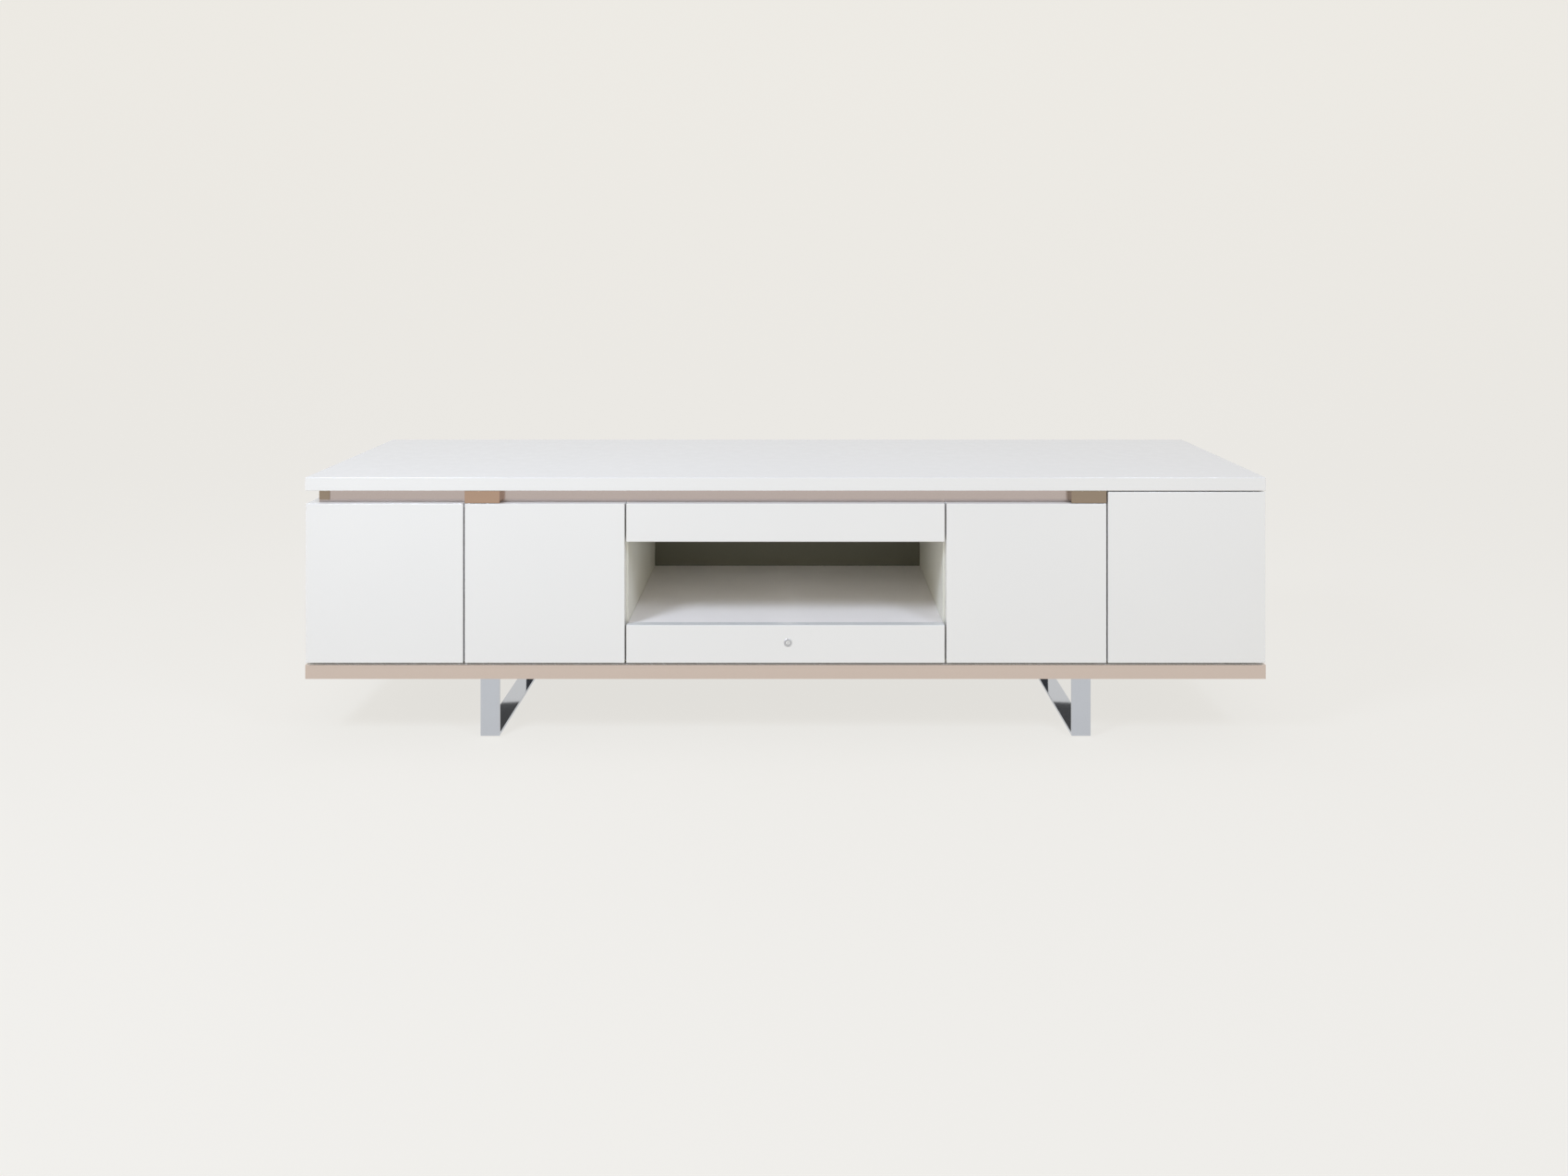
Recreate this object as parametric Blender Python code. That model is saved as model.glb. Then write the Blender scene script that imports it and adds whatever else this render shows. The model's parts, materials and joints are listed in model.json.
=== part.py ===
"""Low television stand: a white cabinet with four doors, two drawers and an open niche.

A thick top slab stands on a recessed steel spacer frame, so that the low fronts keep a
finger gap above them, and a base board with a polished edge band rests on two flat-bar
sled legs. Metres. +X is right, -Y is the front, +Z is up, and the origin is on the floor
under the middle of the stand.
"""

import math

import bmesh
import bpy
from mathutils import Matrix, Vector

# ---------------------------------------------------------------- overall sizes
WIDTH = 2.000  # end to end of the top slab
DEPTH = 0.450  # front to back of the top slab
HEIGHT = 0.550  # floor to the top of the slab

# ---------------------------------------------------------------- board thicknesses
SLAB = 0.028
BASE = 0.029
BOARD = 0.018  # end panels, partitions and carcass top
FRONT = 0.018  # doors and drawer fronts
INNER = 0.016  # shelves, niche floor and niche ceiling
BACK = 0.006  # back panels
DRAWER_WALL = 0.012
DRAWER_BOTTOM = 0.005

# ---------------------------------------------------------------- layout of the front
CENTRE_COLUMN = 0.667  # drawers and niche, from joint to joint
END_COLUMN = 0.330  # end door, from the end of the stand to the joint beside it
UPPER_FRONT = 0.0795  # height of the upper drawer's front
LOWER_FRONT = 0.079  # height of the lower drawer's front
LEG_HEIGHT = 0.130  # floor to the underside of the base board

# ---------------------------------------------------------------- gaps and reveals
TOUCH = 0.0003  # between two pieces that rest on each other
FRONT_GAP = 0.0035  # between neighbouring fronts
FINGER_GAP = 0.027  # between the low fronts and the slab
SHADOW_GAP = 0.004  # between the fronts and the base board
END_DOOR_GAP = 0.0025  # between the tall end door and the slab
BUMPER_GAP = 0.002  # between a closed front and the carcass behind it
SLAB_NOSE = 0.0015  # how far the slab stands ahead of the fronts
SIDE_REVEAL = 0.0005  # how far the slab stands past the end panels
REAR_REVEAL = 0.003  # how far the slab stands past the back panels
CARCASS_DROP = 0.001  # carcass top below the tops of the low fronts
NICHE_LIP = 0.002  # niche boards set back behind the edges of the drawer fronts
PARTITION_LAP = 0.0026  # partition's inner face inside the joint between the fronts
CABLE_SPACE = 0.023  # niche back panel ahead of the other back panels
FRONT_EASE = 0.0012  # rounding of lacquered edges
METAL_EASE = 0.0006  # rounding of polished metal edges

# ---------------------------------------------------------------- metalwork
TRIM = 0.002  # edge band round the base board
FRAME_INSET = 0.020  # spacer frame in from the slab's left end and back
FRAME_PLATE = 0.003  # front and back strips of the spacer frame
FRAME_RAIL = 0.022  # width of the spacer frame's left rail
BLOCK_LENGTH = 0.073  # polished spacer block along the front
BLOCK_JOINT_GAP = 0.0015  # block to the joint between the two doors below it
LEG_BAR_WIDTH = 0.040
LEG_BAR = 0.006
LEG_END_INSET = 0.379  # end of the stand to the leg's centre
LEG_FRONT_INSET = 0.0185  # fronts to the leg's front face
LEG_REAR_INSET = 0.067  # rear of the base board to the leg's rear face
GLIDE = 0.0015
GLIDE_RADIUS = 0.012
GLIDE_INSET = 0.030  # leg's front or rear face to a glide's centre

# ---------------------------------------------------------------- shelves and back
SHELF_INSET = 0.030  # carcass front to a shelf's front edge
SHELF_PLAY = 0.001
CABLE_HOLE_RADIUS = 0.030
CABLE_HOLE_DROP = 0.056  # niche ceiling to the hole's centre

# ---------------------------------------------------------------- drawers and runners
RUNNER_SPACE = 0.0127  # partition to the drawer's side
RUNNER_DEPTH = 0.0095
RUNNER_HEIGHT = 0.027
RUNNER_SHEET = 0.0012
RUNNER_LIP = 0.004
RUNNER_FRONT_INSET = 0.002
DRAWER_FOOT = 0.005  # below the drawer box
DRAWER_HEAD = 0.006  # above the drawer box
DRAWER_REAR_SPACE = 0.070  # drawer box to the rear of the partitions
GROOVE = 0.005  # how deep the drawer bottom sits in the walls
GROOVE_RISE = 0.006  # lower edge of the walls to the drawer bottom

# ---------------------------------------------------------------- door hinges
CUP_RADIUS = 0.0175  # bore in the door
CUP_DEPTH = 0.0115
CUP_WALL = 0.001
CUP_FLANGE = 0.003  # flange past the bore
CUP_EDGE = 0.0225  # door's edge to the bore's centre
HINGE_END = 0.065  # door's end to the bore's centre
PIVOT_INSET = 0.0015  # turning axis in from the door's front outer corner
ARM_WIDTH = 0.0125
ARM_LENGTH = 0.062
ARM_HEIGHT = 0.009  # panel's face to the arm's outer face
ARM_LIFT = 0.0015  # panel's face to the arm's underside
ARM_NOSE = 0.008  # thickness of the cranked nose
ARM_FRONT_INSET = 0.001
ARM_CRANK = 0.008  # carcass front to where the crank starts
PLATE_HEIGHT = 0.048
PLATE_LENGTH = 0.016
PLATE_THICKNESS = 0.0025
PLATE_CENTRE = 0.037  # carcass front to the plate's screw line

# ---------------------------------------------------------------- drawer lock
LOCK_X = 0.005
LOCK_DROP = 0.0365  # upper edge of the drawer front to the lock's centre
LOCK_ROSETTE = 0.0085
LOCK_PROUD = 0.0012
LOCK_RADIUS = 0.0075
LOCK_PLUG = 0.005
LOCK_LENGTH = 0.033  # behind the front's face
CAM_LENGTH = 0.028
CAM_WIDTH = 0.012
CAM_THICKNESS = 0.003
CAM_PLAY = 0.0035  # round the cam in the slot of the niche floor
CAM_HEADROOM = 0.0012

# ---------------------------------------------------------------- push latch of the end door
LATCH_SIZE = Vector((0.014, 0.056, 0.020))
LATCH_FRONT_INSET = 0.003
LATCH_DROP = 0.035  # top of the end door to the latch's centre
LATCH_ROD = 0.004
LATCH_ROD_LENGTH = 0.045
LATCH_BORE_DEPTH = 0.048

# ---------------------------------------------------------------- mesh fineness
ROUND_STEPS = 24
WELD = 0.000001

# ---------------------------------------------------------------- places worked out from the sizes
END_X = WIDTH / 2
PANEL_END_X = END_X - SIDE_REVEAL
PANEL_FACE_X = PANEL_END_X - BOARD  # inner faces of the end panels
SIDE_JOINT_X = END_X - END_COLUMN
CENTRE_JOINT_X = CENTRE_COLUMN / 2
HALF_BOARD = BOARD / 2
HALF_GAP = FRONT_GAP / 2
NICHE_HALF = CENTRE_JOINT_X - PARTITION_LAP
PARTITION_OUT_X = NICHE_HALF + BOARD
END_PARTITION_LEFT_X = SIDE_JOINT_X - HALF_BOARD

FRONT_Y = -DEPTH / 2 + SLAB_NOSE
FRONT_BACK_Y = FRONT_Y + FRONT
CARCASS_Y = FRONT_BACK_Y + BUMPER_GAP
REAR_Y = DEPTH / 2 - REAR_REVEAL
BACK_Y = REAR_Y - BACK
CARCASS_REAR_Y = BACK_Y - TOUCH
NICHE_BACK_Y = BACK_Y - CABLE_SPACE

BASE_TOP_Z = LEG_HEIGHT + BASE
SLAB_LOW_Z = HEIGHT - SLAB
FRONT_LOW_Z = BASE_TOP_Z + SHADOW_GAP
FRONT_TOP_Z = SLAB_LOW_Z - FINGER_GAP
END_DOOR_TOP_Z = SLAB_LOW_Z - END_DOOR_GAP
CARCASS_TOP_Z = FRONT_TOP_Z - CARCASS_DROP
CARCASS_UNDER_Z = CARCASS_TOP_Z - BOARD
NICHE_FLOOR_Z = FRONT_LOW_Z + LOWER_FRONT - NICHE_LIP
NICHE_CEILING_Z = FRONT_TOP_Z - UPPER_FRONT + NICHE_LIP
LOCK_Z = FRONT_LOW_Z + LOWER_FRONT - LOCK_DROP

# ---------------------------------------------------------------- finishes: colour, roughness, metallic
WHITE_LACQUER = ((0.87, 0.87, 0.88), 0.12, 0.0)
WHITE_BOARD = ((0.82, 0.81, 0.78), 0.45, 0.0)
GREY_BACK = ((0.20, 0.20, 0.16), 0.60, 0.0)
WARM_STEEL = ((0.72, 0.60, 0.52), 0.10, 1.0)
CHROME = ((0.78, 0.79, 0.82), 0.05, 1.0)
NICKEL = ((0.66, 0.66, 0.65), 0.22, 1.0)
ZINC = ((0.58, 0.60, 0.62), 0.35, 1.0)
GREY_PLASTIC = ((0.45, 0.46, 0.47), 0.50, 0.0)
BLACK_PLASTIC = ((0.03, 0.03, 0.03), 0.60, 0.0)


# ---------------------------------------------------------------- helpers
def clear_scene():
    for obj in list(bpy.data.objects):
        bpy.data.objects.remove(obj, do_unlink=True)


def make_material(name, finish):
    colour, roughness, metallic = finish
    material = bpy.data.materials.new(name)
    material.use_nodes = True
    shader = material.node_tree.nodes["Principled BSDF"]
    shader.inputs["Base Color"].default_value = (*colour, 1.0)
    shader.inputs["Roughness"].default_value = roughness
    shader.inputs["Metallic"].default_value = metallic
    return material


def mesh_from(bm, name):
    bmesh.ops.recalc_face_normals(bm, faces=bm.faces)
    mesh = bpy.data.meshes.new(name)
    bm.to_mesh(mesh)
    bm.free()
    return mesh


def make_object(name, bm, finish, place, parent=None):
    """One piece of the stand, at a world place, riding on a joint's empty if it moves."""
    obj = bpy.data.objects.new(name, mesh_from(bm, name))
    obj.data.materials.append(make_material(name + "_finish", finish))
    obj.location = Vector(place) - (parent.location if parent else Vector())
    obj.parent = parent
    bpy.context.scene.collection.objects.link(obj)
    return obj


def make_axis(name, place, parent=None):
    """An empty on a joint's axis, which carries the pieces that move together."""
    axis = bpy.data.objects.new(name, None)
    axis.location = place
    axis.parent = parent
    bpy.context.scene.collection.objects.link(axis)
    return axis


def ease_edges(obj, width, segments=2):
    bevel = obj.modifiers.new("eased_edges", "BEVEL")
    bevel.width = width
    bevel.segments = segments
    bevel.limit_method = "ANGLE"


def smooth_rounds(obj):
    obj.data.shade_smooth()
    obj.data.set_sharp_from_angle(angle=math.radians(35))


def combine(obj, bm, offset, operation):
    """Cut a tool shape out of a piece, or add it; the offset is from the piece's origin."""
    tool = bpy.data.objects.new(obj.name + "_tool", mesh_from(bm, obj.name + "_tool"))
    tool.location = offset
    tool.parent = obj
    tool.hide_render = True
    tool.display_type = "WIRE"
    bpy.context.scene.collection.objects.link(tool)
    boolean = obj.modifiers.new("shaped_by_tool", "BOOLEAN")
    boolean.operation = operation
    boolean.object = tool


def box_shape(low, high):
    """A box between two corners, kept about its own middle."""
    bm = bmesh.new()
    bmesh.ops.create_cube(bm, size=1.0)
    bmesh.ops.scale(bm, vec=Vector(high) - Vector(low), verts=bm.verts)
    return bm


def middle(low, high):
    return (Vector(low) + Vector(high)) / 2


def rod_shape(radius, length, along="Y"):
    bm = bmesh.new()
    bmesh.ops.create_cone(
        bm, cap_ends=True, segments=ROUND_STEPS, radius1=radius, radius2=radius, depth=length
    )
    if along == "Y":
        bmesh.ops.rotate(bm, verts=bm.verts, matrix=Matrix.Rotation(math.pi / 2, 3, "X"))
    return bm


def turned_shape(profile):
    """Spin (radius, distance along Y) points a full turn about the Y axis."""
    bm = bmesh.new()
    verts = [bm.verts.new((radius, along, 0.0)) for radius, along in profile]
    edges = [bm.edges.new(pair) for pair in zip(verts, verts[1:] + verts[:1])]
    bmesh.ops.spin(
        bm, geom=verts + edges, cent=(0, 0, 0), axis=(0, 1, 0),
        angle=math.tau, steps=ROUND_STEPS, use_merge=True,
    )
    bmesh.ops.remove_doubles(bm, verts=bm.verts, dist=WELD)
    bmesh.ops.dissolve_degenerate(bm, edges=bm.edges, dist=WELD)
    return bm


def outline_shape(points, length, along):
    """Extrude a flat outline by a length; the outline lies across the chosen axis."""
    place = {
        "Z": lambda a, b: (a, b, -length / 2),
        "Y": lambda a, b: (a, -length / 2, b),
    }[along]
    bm = bmesh.new()
    face = bm.faces.new([bm.verts.new(place(a, b)) for a, b in points])
    swept = bmesh.ops.extrude_face_region(bm, geom=[face])
    moved = [item for item in swept["geom"] if isinstance(item, bmesh.types.BMVert)]
    step = Vector((0, 0, length)) if along == "Z" else Vector((0, length, 0))
    bmesh.ops.translate(bm, vec=step, verts=moved)
    return bm


def board(name, low, high, finish, parent=None, ease=0.0):
    """A rectangular board between two world corners."""
    obj = make_object(name, box_shape(low, high), finish, middle(low, high), parent)
    if ease:
        ease_edges(obj, ease)
    return obj


# ---------------------------------------------------------------- top, base and legs
def make_top_slab():
    low = (-END_X, -DEPTH / 2, SLAB_LOW_Z)
    high = (END_X, DEPTH / 2, HEIGHT)
    board("top_slab", low, high, WHITE_LACQUER, ease=FRONT_EASE)


def make_base_board():
    edge = TRIM + TOUCH
    low = (-END_X + edge, FRONT_Y + edge, LEG_HEIGHT)
    high = (END_X - edge, REAR_Y, BASE_TOP_Z)
    board("base_board", low, high, WHITE_BOARD)


def make_base_trim():
    """Polished band round the front and both ends of the base board."""
    outline = [
        (-END_X, REAR_Y), (-END_X, FRONT_Y), (END_X, FRONT_Y), (END_X, REAR_Y),
        (END_X - TRIM, REAR_Y), (END_X - TRIM, FRONT_Y + TRIM),
        (-END_X + TRIM, FRONT_Y + TRIM), (-END_X + TRIM, REAR_Y),
    ]
    shape = outline_shape(outline, BASE, "Z")
    make_object("base_trim", shape, WARM_STEEL, (0, 0, LEG_HEIGHT + BASE / 2))


def make_leg(name, x):
    """A closed loop of flat bar, screwed to the base board by its top bar."""
    front = FRONT_Y + LEG_FRONT_INSET
    rear = REAR_Y - LEG_REAR_INSET
    top = LEG_HEIGHT - TOUCH
    low = (x - LEG_BAR_WIDTH / 2, front, GLIDE + TOUCH)
    high = (x + LEG_BAR_WIDTH / 2, rear, top)
    leg = board(name, low, high, CHROME)
    hole_low = (x - LEG_BAR_WIDTH, front + LEG_BAR, GLIDE + TOUCH + LEG_BAR)
    hole_high = (x + LEG_BAR_WIDTH, rear - LEG_BAR, top - LEG_BAR)
    combine(leg, box_shape(hole_low, hole_high), (0, 0, 0), "DIFFERENCE")
    ease_edges(leg, METAL_EASE, segments=1)
    for end, y in (("front", front + GLIDE_INSET), ("rear", rear - GLIDE_INSET)):
        glide = rod_shape(GLIDE_RADIUS, GLIDE, "Z")
        pad = make_object(f"{name}_glide_{end}", glide, BLACK_PLASTIC, (x, y, GLIDE / 2))
        smooth_rounds(pad)


def make_spacer_frame():
    """Front strip, left rail and back strip, welded into one U between carcass and slab."""
    left = -END_X + FRAME_INSET
    right = END_PARTITION_LEFT_X - TOUCH
    rear = DEPTH / 2 - FRAME_INSET
    outline = [
        (left, CARCASS_Y), (right, CARCASS_Y), (right, CARCASS_Y + FRAME_PLATE),
        (left + FRAME_RAIL, CARCASS_Y + FRAME_PLATE), (left + FRAME_RAIL, rear - FRAME_PLATE),
        (right, rear - FRAME_PLATE), (right, rear), (left, rear),
    ]
    low = CARCASS_TOP_Z + TOUCH
    high = SLAB_LOW_Z - TOUCH
    shape = outline_shape(outline, high - low, "Z")
    make_object("spacer_frame", shape, WARM_STEEL, (0, 0, (low + high) / 2))


def make_spacer_blocks():
    """Polished blocks flush with the fronts, on top of the second and third columns."""
    outer = SIDE_JOINT_X - BLOCK_JOINT_GAP
    for name, side in (("spacer_block_left", -1), ("spacer_block_right", 1)):
        ends = sorted((side * outer, side * (outer - BLOCK_LENGTH)))
        low = (ends[0], FRONT_Y, FRONT_TOP_Z + CARCASS_DROP)
        high = (ends[1], CARCASS_Y - TOUCH, SLAB_LOW_Z - TOUCH)
        board(name, low, high, WARM_STEEL, ease=METAL_EASE)


# ---------------------------------------------------------------- carcass
def upright(name, x_low, top):
    """A panel that stands on the base board, from the carcass front to the back panel."""
    low = (x_low, CARCASS_Y, BASE_TOP_Z + TOUCH)
    return board(name, low, (x_low + BOARD, CARCASS_REAR_Y, top - TOUCH), WHITE_LACQUER)


def make_carcass():
    upright("end_panel_left", -PANEL_END_X, CARCASS_UNDER_Z)
    upright("partition_left", -PARTITION_OUT_X, CARCASS_UNDER_Z)
    upright("partition_right", NICHE_HALF, CARCASS_UNDER_Z)
    upright("partition_end", END_PARTITION_LEFT_X, SLAB_LOW_Z)
    upright("end_panel_right", PANEL_FACE_X, SLAB_LOW_Z)
    low = (-PANEL_END_X, CARCASS_Y, CARCASS_UNDER_Z)
    high = (END_PARTITION_LEFT_X - TOUCH, CARCASS_REAR_Y, CARCASS_TOP_Z)
    board("carcass_top", low, high, WHITE_LACQUER)


def make_niche():
    half = NICHE_HALF - TOUCH
    rear = NICHE_BACK_Y - TOUCH
    low = (-half, CARCASS_Y, NICHE_FLOOR_Z - INNER)
    high = (half, rear, NICHE_FLOOR_Z)
    floor = board("niche_floor", low, high, WHITE_LACQUER)
    cut_cam_slot(floor, middle(low, high))
    low = (-half, CARCASS_Y, NICHE_CEILING_Z)
    high = (half, rear, NICHE_CEILING_Z + INNER)
    board("niche_ceiling", low, high, WHITE_LACQUER)


def cut_cam_slot(floor, floor_middle):
    """Slot under the niche floor, which the lock's cam turns up into."""
    cam_y = FRONT_Y + LOCK_LENGTH
    reach = LOCK_Z + CAM_LENGTH + CAM_HEADROOM
    low = (LOCK_X - CAM_WIDTH / 2 - CAM_PLAY, cam_y - CAM_PLAY, NICHE_FLOOR_Z - 2 * INNER)
    high = (LOCK_X + CAM_LENGTH, cam_y + CAM_THICKNESS + CAM_PLAY, reach)
    combine(floor, box_shape(low, high), middle(low, high) - floor_middle, "DIFFERENCE")


def make_shelf(name, left, right, ceiling):
    """A loose shelf half way up its compartment."""
    z = (BASE_TOP_Z + ceiling) / 2
    low = (left + SHELF_PLAY, CARCASS_Y + SHELF_INSET, z - INNER / 2)
    high = (right - SHELF_PLAY, CARCASS_REAR_Y - SHELF_PLAY, z + INNER / 2)
    board(name, low, high, WHITE_BOARD)


def make_shelves():
    make_shelf("shelf_left", -PANEL_FACE_X, -PARTITION_OUT_X, CARCASS_UNDER_Z)
    make_shelf("shelf_right", PARTITION_OUT_X, END_PARTITION_LEFT_X, CARCASS_UNDER_Z)
    make_shelf("shelf_end", SIDE_JOINT_X + HALF_BOARD, PANEL_FACE_X, SLAB_LOW_Z)


def make_backs():
    """Two back panels on the carcass's rear edges, and the niche's own between its partitions."""
    low_z = BASE_TOP_Z + TOUCH
    board("back_panel_left", (-PANEL_END_X, BACK_Y, low_z), (-NICHE_HALF, REAR_Y, CARCASS_TOP_Z),
          WHITE_BOARD)
    half = NICHE_HALF - TOUCH
    low = (-half, NICHE_BACK_Y, low_z)
    high = (half, NICHE_BACK_Y + BACK, CARCASS_UNDER_Z - TOUCH)
    centre = board("back_panel_centre", low, high, GREY_BACK)
    hole = Vector((0, NICHE_BACK_Y + BACK / 2, NICHE_CEILING_Z - CABLE_HOLE_DROP))
    combine(centre, rod_shape(CABLE_HOLE_RADIUS, 3 * BACK), hole - middle(low, high), "DIFFERENCE")
    outline = [
        (NICHE_HALF, low_z), (PANEL_END_X, low_z), (PANEL_END_X, SLAB_LOW_Z - TOUCH),
        (END_PARTITION_LEFT_X, SLAB_LOW_Z - TOUCH), (END_PARTITION_LEFT_X, CARCASS_TOP_Z),
        (NICHE_HALF, CARCASS_TOP_Z),
    ]
    shape = outline_shape(outline, BACK, "Y")
    make_object("back_panel_right", shape, WHITE_BOARD, (0, (BACK_Y + REAR_Y) / 2, 0))


# ---------------------------------------------------------------- doors and their hinges
def cup_shape():
    """Open hinge cup with a round flange; Y = 0 is the door's back face."""
    outer = CUP_RADIUS - TOUCH
    inner = outer - CUP_WALL
    flange = CUP_RADIUS + CUP_FLANGE
    low = -CUP_DEPTH + TOUCH
    high = TOUCH + CUP_WALL
    return turned_shape([
        (0, low), (outer, low), (outer, TOUCH), (flange, TOUCH),
        (flange, high), (inner, high), (inner, low + CUP_WALL), (0, low + CUP_WALL),
    ])


def arm_shape(side, reach):
    """Hinge arm beside a panel, its nose cranked until it stands level with the cup.

    The origin is on the panel's face at the carcass front, and side points into the
    compartment. reach is how far the cup's centre stands off the panel's face.
    """
    nose_low = max(reach - ARM_NOSE / 2, TOUCH)
    outline = [
        (ARM_LIFT, ARM_CRANK + ARM_HEIGHT), (nose_low, ARM_CRANK),
        (nose_low, ARM_FRONT_INSET), (nose_low + ARM_NOSE, ARM_FRONT_INSET),
        (nose_low + ARM_NOSE, ARM_CRANK + ARM_NOSE / 2),
        (ARM_HEIGHT, ARM_CRANK + 2 * ARM_NOSE),
        (ARM_HEIGHT, ARM_LENGTH), (ARM_LIFT, ARM_LENGTH),
    ]
    return outline_shape([(side * off, back) for off, back in outline], ARM_WIDTH, "Z")


def make_arm(name, face_x, side, reach, z):
    arm = make_object(name, arm_shape(side, reach), NICKEL, (face_x, CARCASS_Y, z))
    inner = side * TOUCH
    outer = side * PLATE_THICKNESS
    low = (min(inner, outer), PLATE_CENTRE - PLATE_LENGTH / 2, -PLATE_HEIGHT / 2)
    high = (max(inner, outer), PLATE_CENTRE + PLATE_LENGTH / 2, PLATE_HEIGHT / 2)
    combine(arm, box_shape(low, high), middle(low, high), "UNION")


def make_door(name, left, right, top, side, face_x):
    """A door, its two hinges and the empty on its turning axis.

    side is +1 where the hinges are at the door's left edge and -1 at its right edge;
    face_x is the face of the panel that carries the hinge arms.
    """
    hinge_edge = left if side > 0 else right
    pivot = (hinge_edge + side * PIVOT_INSET, FRONT_Y + PIVOT_INSET, FRONT_LOW_Z)
    axis = make_axis(name + "_axis", pivot)
    low = (left, FRONT_Y, FRONT_LOW_Z)
    high = (right, FRONT_BACK_Y, top)
    door = board(name, low, high, WHITE_LACQUER, axis, ease=FRONT_EASE)
    cup_x = hinge_edge + side * CUP_EDGE
    heights = (("lower", FRONT_LOW_Z + HINGE_END), ("upper", top - HINGE_END))
    for level, z in heights:
        bore = rod_shape(CUP_RADIUS, 2 * CUP_DEPTH)
        offset = Vector((cup_x, FRONT_BACK_Y, z)) - middle(low, high)
        combine(door, bore, offset, "DIFFERENCE")
        cup_place = (cup_x, FRONT_BACK_Y, z)
        cup = make_object(f"{name}_hinge_cup_{level}", cup_shape(), NICKEL, cup_place, axis)
        smooth_rounds(cup)
        reach = abs(cup_x - face_x)
        make_arm(f"{name}_hinge_arm_{level}", face_x, side, reach, z)


def make_doors():
    outer = PANEL_END_X
    joint = SIDE_JOINT_X
    centre = CENTRE_JOINT_X
    partition_face = PARTITION_OUT_X
    make_door("door_1", -outer, -joint - HALF_GAP, FRONT_TOP_Z, 1, -PANEL_FACE_X)
    make_door("door_2", -joint + HALF_GAP, -centre - HALF_GAP, FRONT_TOP_Z, -1, -partition_face)
    make_door("door_3", centre + HALF_GAP, joint - HALF_GAP, FRONT_TOP_Z, 1, partition_face)
    make_door("end_door", joint + HALF_GAP, outer, END_DOOR_TOP_Z, -1, PANEL_FACE_X)


def make_push_latch():
    """Sprung push latch on the end partition, behind the free edge of the end door."""
    face = SIDE_JOINT_X + HALF_BOARD + TOUCH
    z = END_DOOR_TOP_Z - LATCH_DROP
    front = CARCASS_Y + LATCH_FRONT_INSET
    low = Vector((face, front, z - LATCH_SIZE.z / 2))
    high = low + LATCH_SIZE
    housing = board("push_latch_housing", low, high, GREY_PLASTIC)
    rod_x = (low.x + high.x) / 2
    bore = rod_shape(LATCH_ROD + TOUCH, 2 * LATCH_BORE_DEPTH)
    combine(housing, bore, Vector((rod_x, front, z)) - middle(low, high), "DIFFERENCE")
    tip = FRONT_BACK_Y + TOUCH
    axis = make_axis("push_latch_axis", (rod_x, tip, z))
    place = (rod_x, tip + LATCH_ROD_LENGTH / 2, z)
    rod = rod_shape(LATCH_ROD, LATCH_ROD_LENGTH)
    smooth_rounds(make_object("push_latch_plunger", rod, BLACK_PLASTIC, place, axis))


# ---------------------------------------------------------------- drawers
def drawer_box_outline(half, front, rear):
    """Plan of the two sides and the back, with the drawer's front left off."""
    inner = half - DRAWER_WALL
    return [
        (-half, front), (-inner, front), (-inner, rear - DRAWER_WALL),
        (inner, rear - DRAWER_WALL), (inner, front), (half, front), (half, rear), (-half, rear),
    ]


def make_drawer(name, front_low, front_high, space_low, space_high):
    """A drawer front with its three-sided box and the bottom let into grooves."""
    half = CENTRE_JOINT_X - HALF_GAP
    axis = make_axis(name + "_axis", (0, FRONT_Y, (front_low + front_high) / 2))
    low = (-half, FRONT_Y, front_low)
    high = (half, FRONT_BACK_Y, front_high)
    front = board(name + "_front", low, high, WHITE_LACQUER, axis, ease=FRONT_EASE)

    box_half = NICHE_HALF - RUNNER_SPACE
    box_front = FRONT_BACK_Y + TOUCH
    box_rear = CARCASS_REAR_Y - DRAWER_REAR_SPACE
    box_low = space_low + DRAWER_FOOT
    box_high = space_high - DRAWER_HEAD
    shape = outline_shape(
        drawer_box_outline(box_half, box_front, box_rear), box_high - box_low, "Z"
    )
    box_middle = Vector((0, 0, (box_low + box_high) / 2))
    box = make_object(name + "_box", shape, WHITE_BOARD, box_middle, axis)

    bottom_half = box_half - DRAWER_WALL + GROOVE
    bottom_low = box_low + GROOVE_RISE
    low = Vector((-bottom_half, box_front, bottom_low))
    high = Vector((bottom_half, box_rear - DRAWER_WALL + GROOVE, bottom_low + DRAWER_BOTTOM))
    board(name + "_bottom", low, high, WHITE_BOARD, axis)
    groove_low = low - Vector((TOUCH, DRAWER_WALL, TOUCH))
    groove_high = high + Vector((TOUCH, TOUCH, TOUCH))
    groove = box_shape(groove_low, groove_high)
    combine(box, groove, middle(groove_low, groove_high) - box_middle, "DIFFERENCE")
    make_runners(name, (box_low + box_high) / 2, box_rear)
    return front, axis


def runner_outline(side):
    """C section of a runner: web on the partition, its lips turned towards each other."""
    half = RUNNER_HEIGHT / 2
    inner = half - RUNNER_SHEET
    web = RUNNER_SHEET
    tip = RUNNER_DEPTH
    outline = [
        (0, -half), (tip, -half), (tip, -half + RUNNER_LIP), (tip - web, -half + RUNNER_LIP),
        (tip - web, -inner), (web, -inner), (web, inner), (tip - web, inner),
        (tip - web, half - RUNNER_LIP), (tip, half - RUNNER_LIP), (tip, half), (0, half),
    ]
    return [(side * off, z) for off, z in outline]


def make_runners(name, z, rear):
    front = CARCASS_Y + RUNNER_FRONT_INSET
    for hand, side in (("left", 1), ("right", -1)):
        x = -side * (NICHE_HALF - TOUCH)
        shape = outline_shape(runner_outline(side), rear - front, "Y")
        make_object(f"{name}_runner_{hand}", shape, ZINC, (x, (front + rear) / 2, z))


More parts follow.
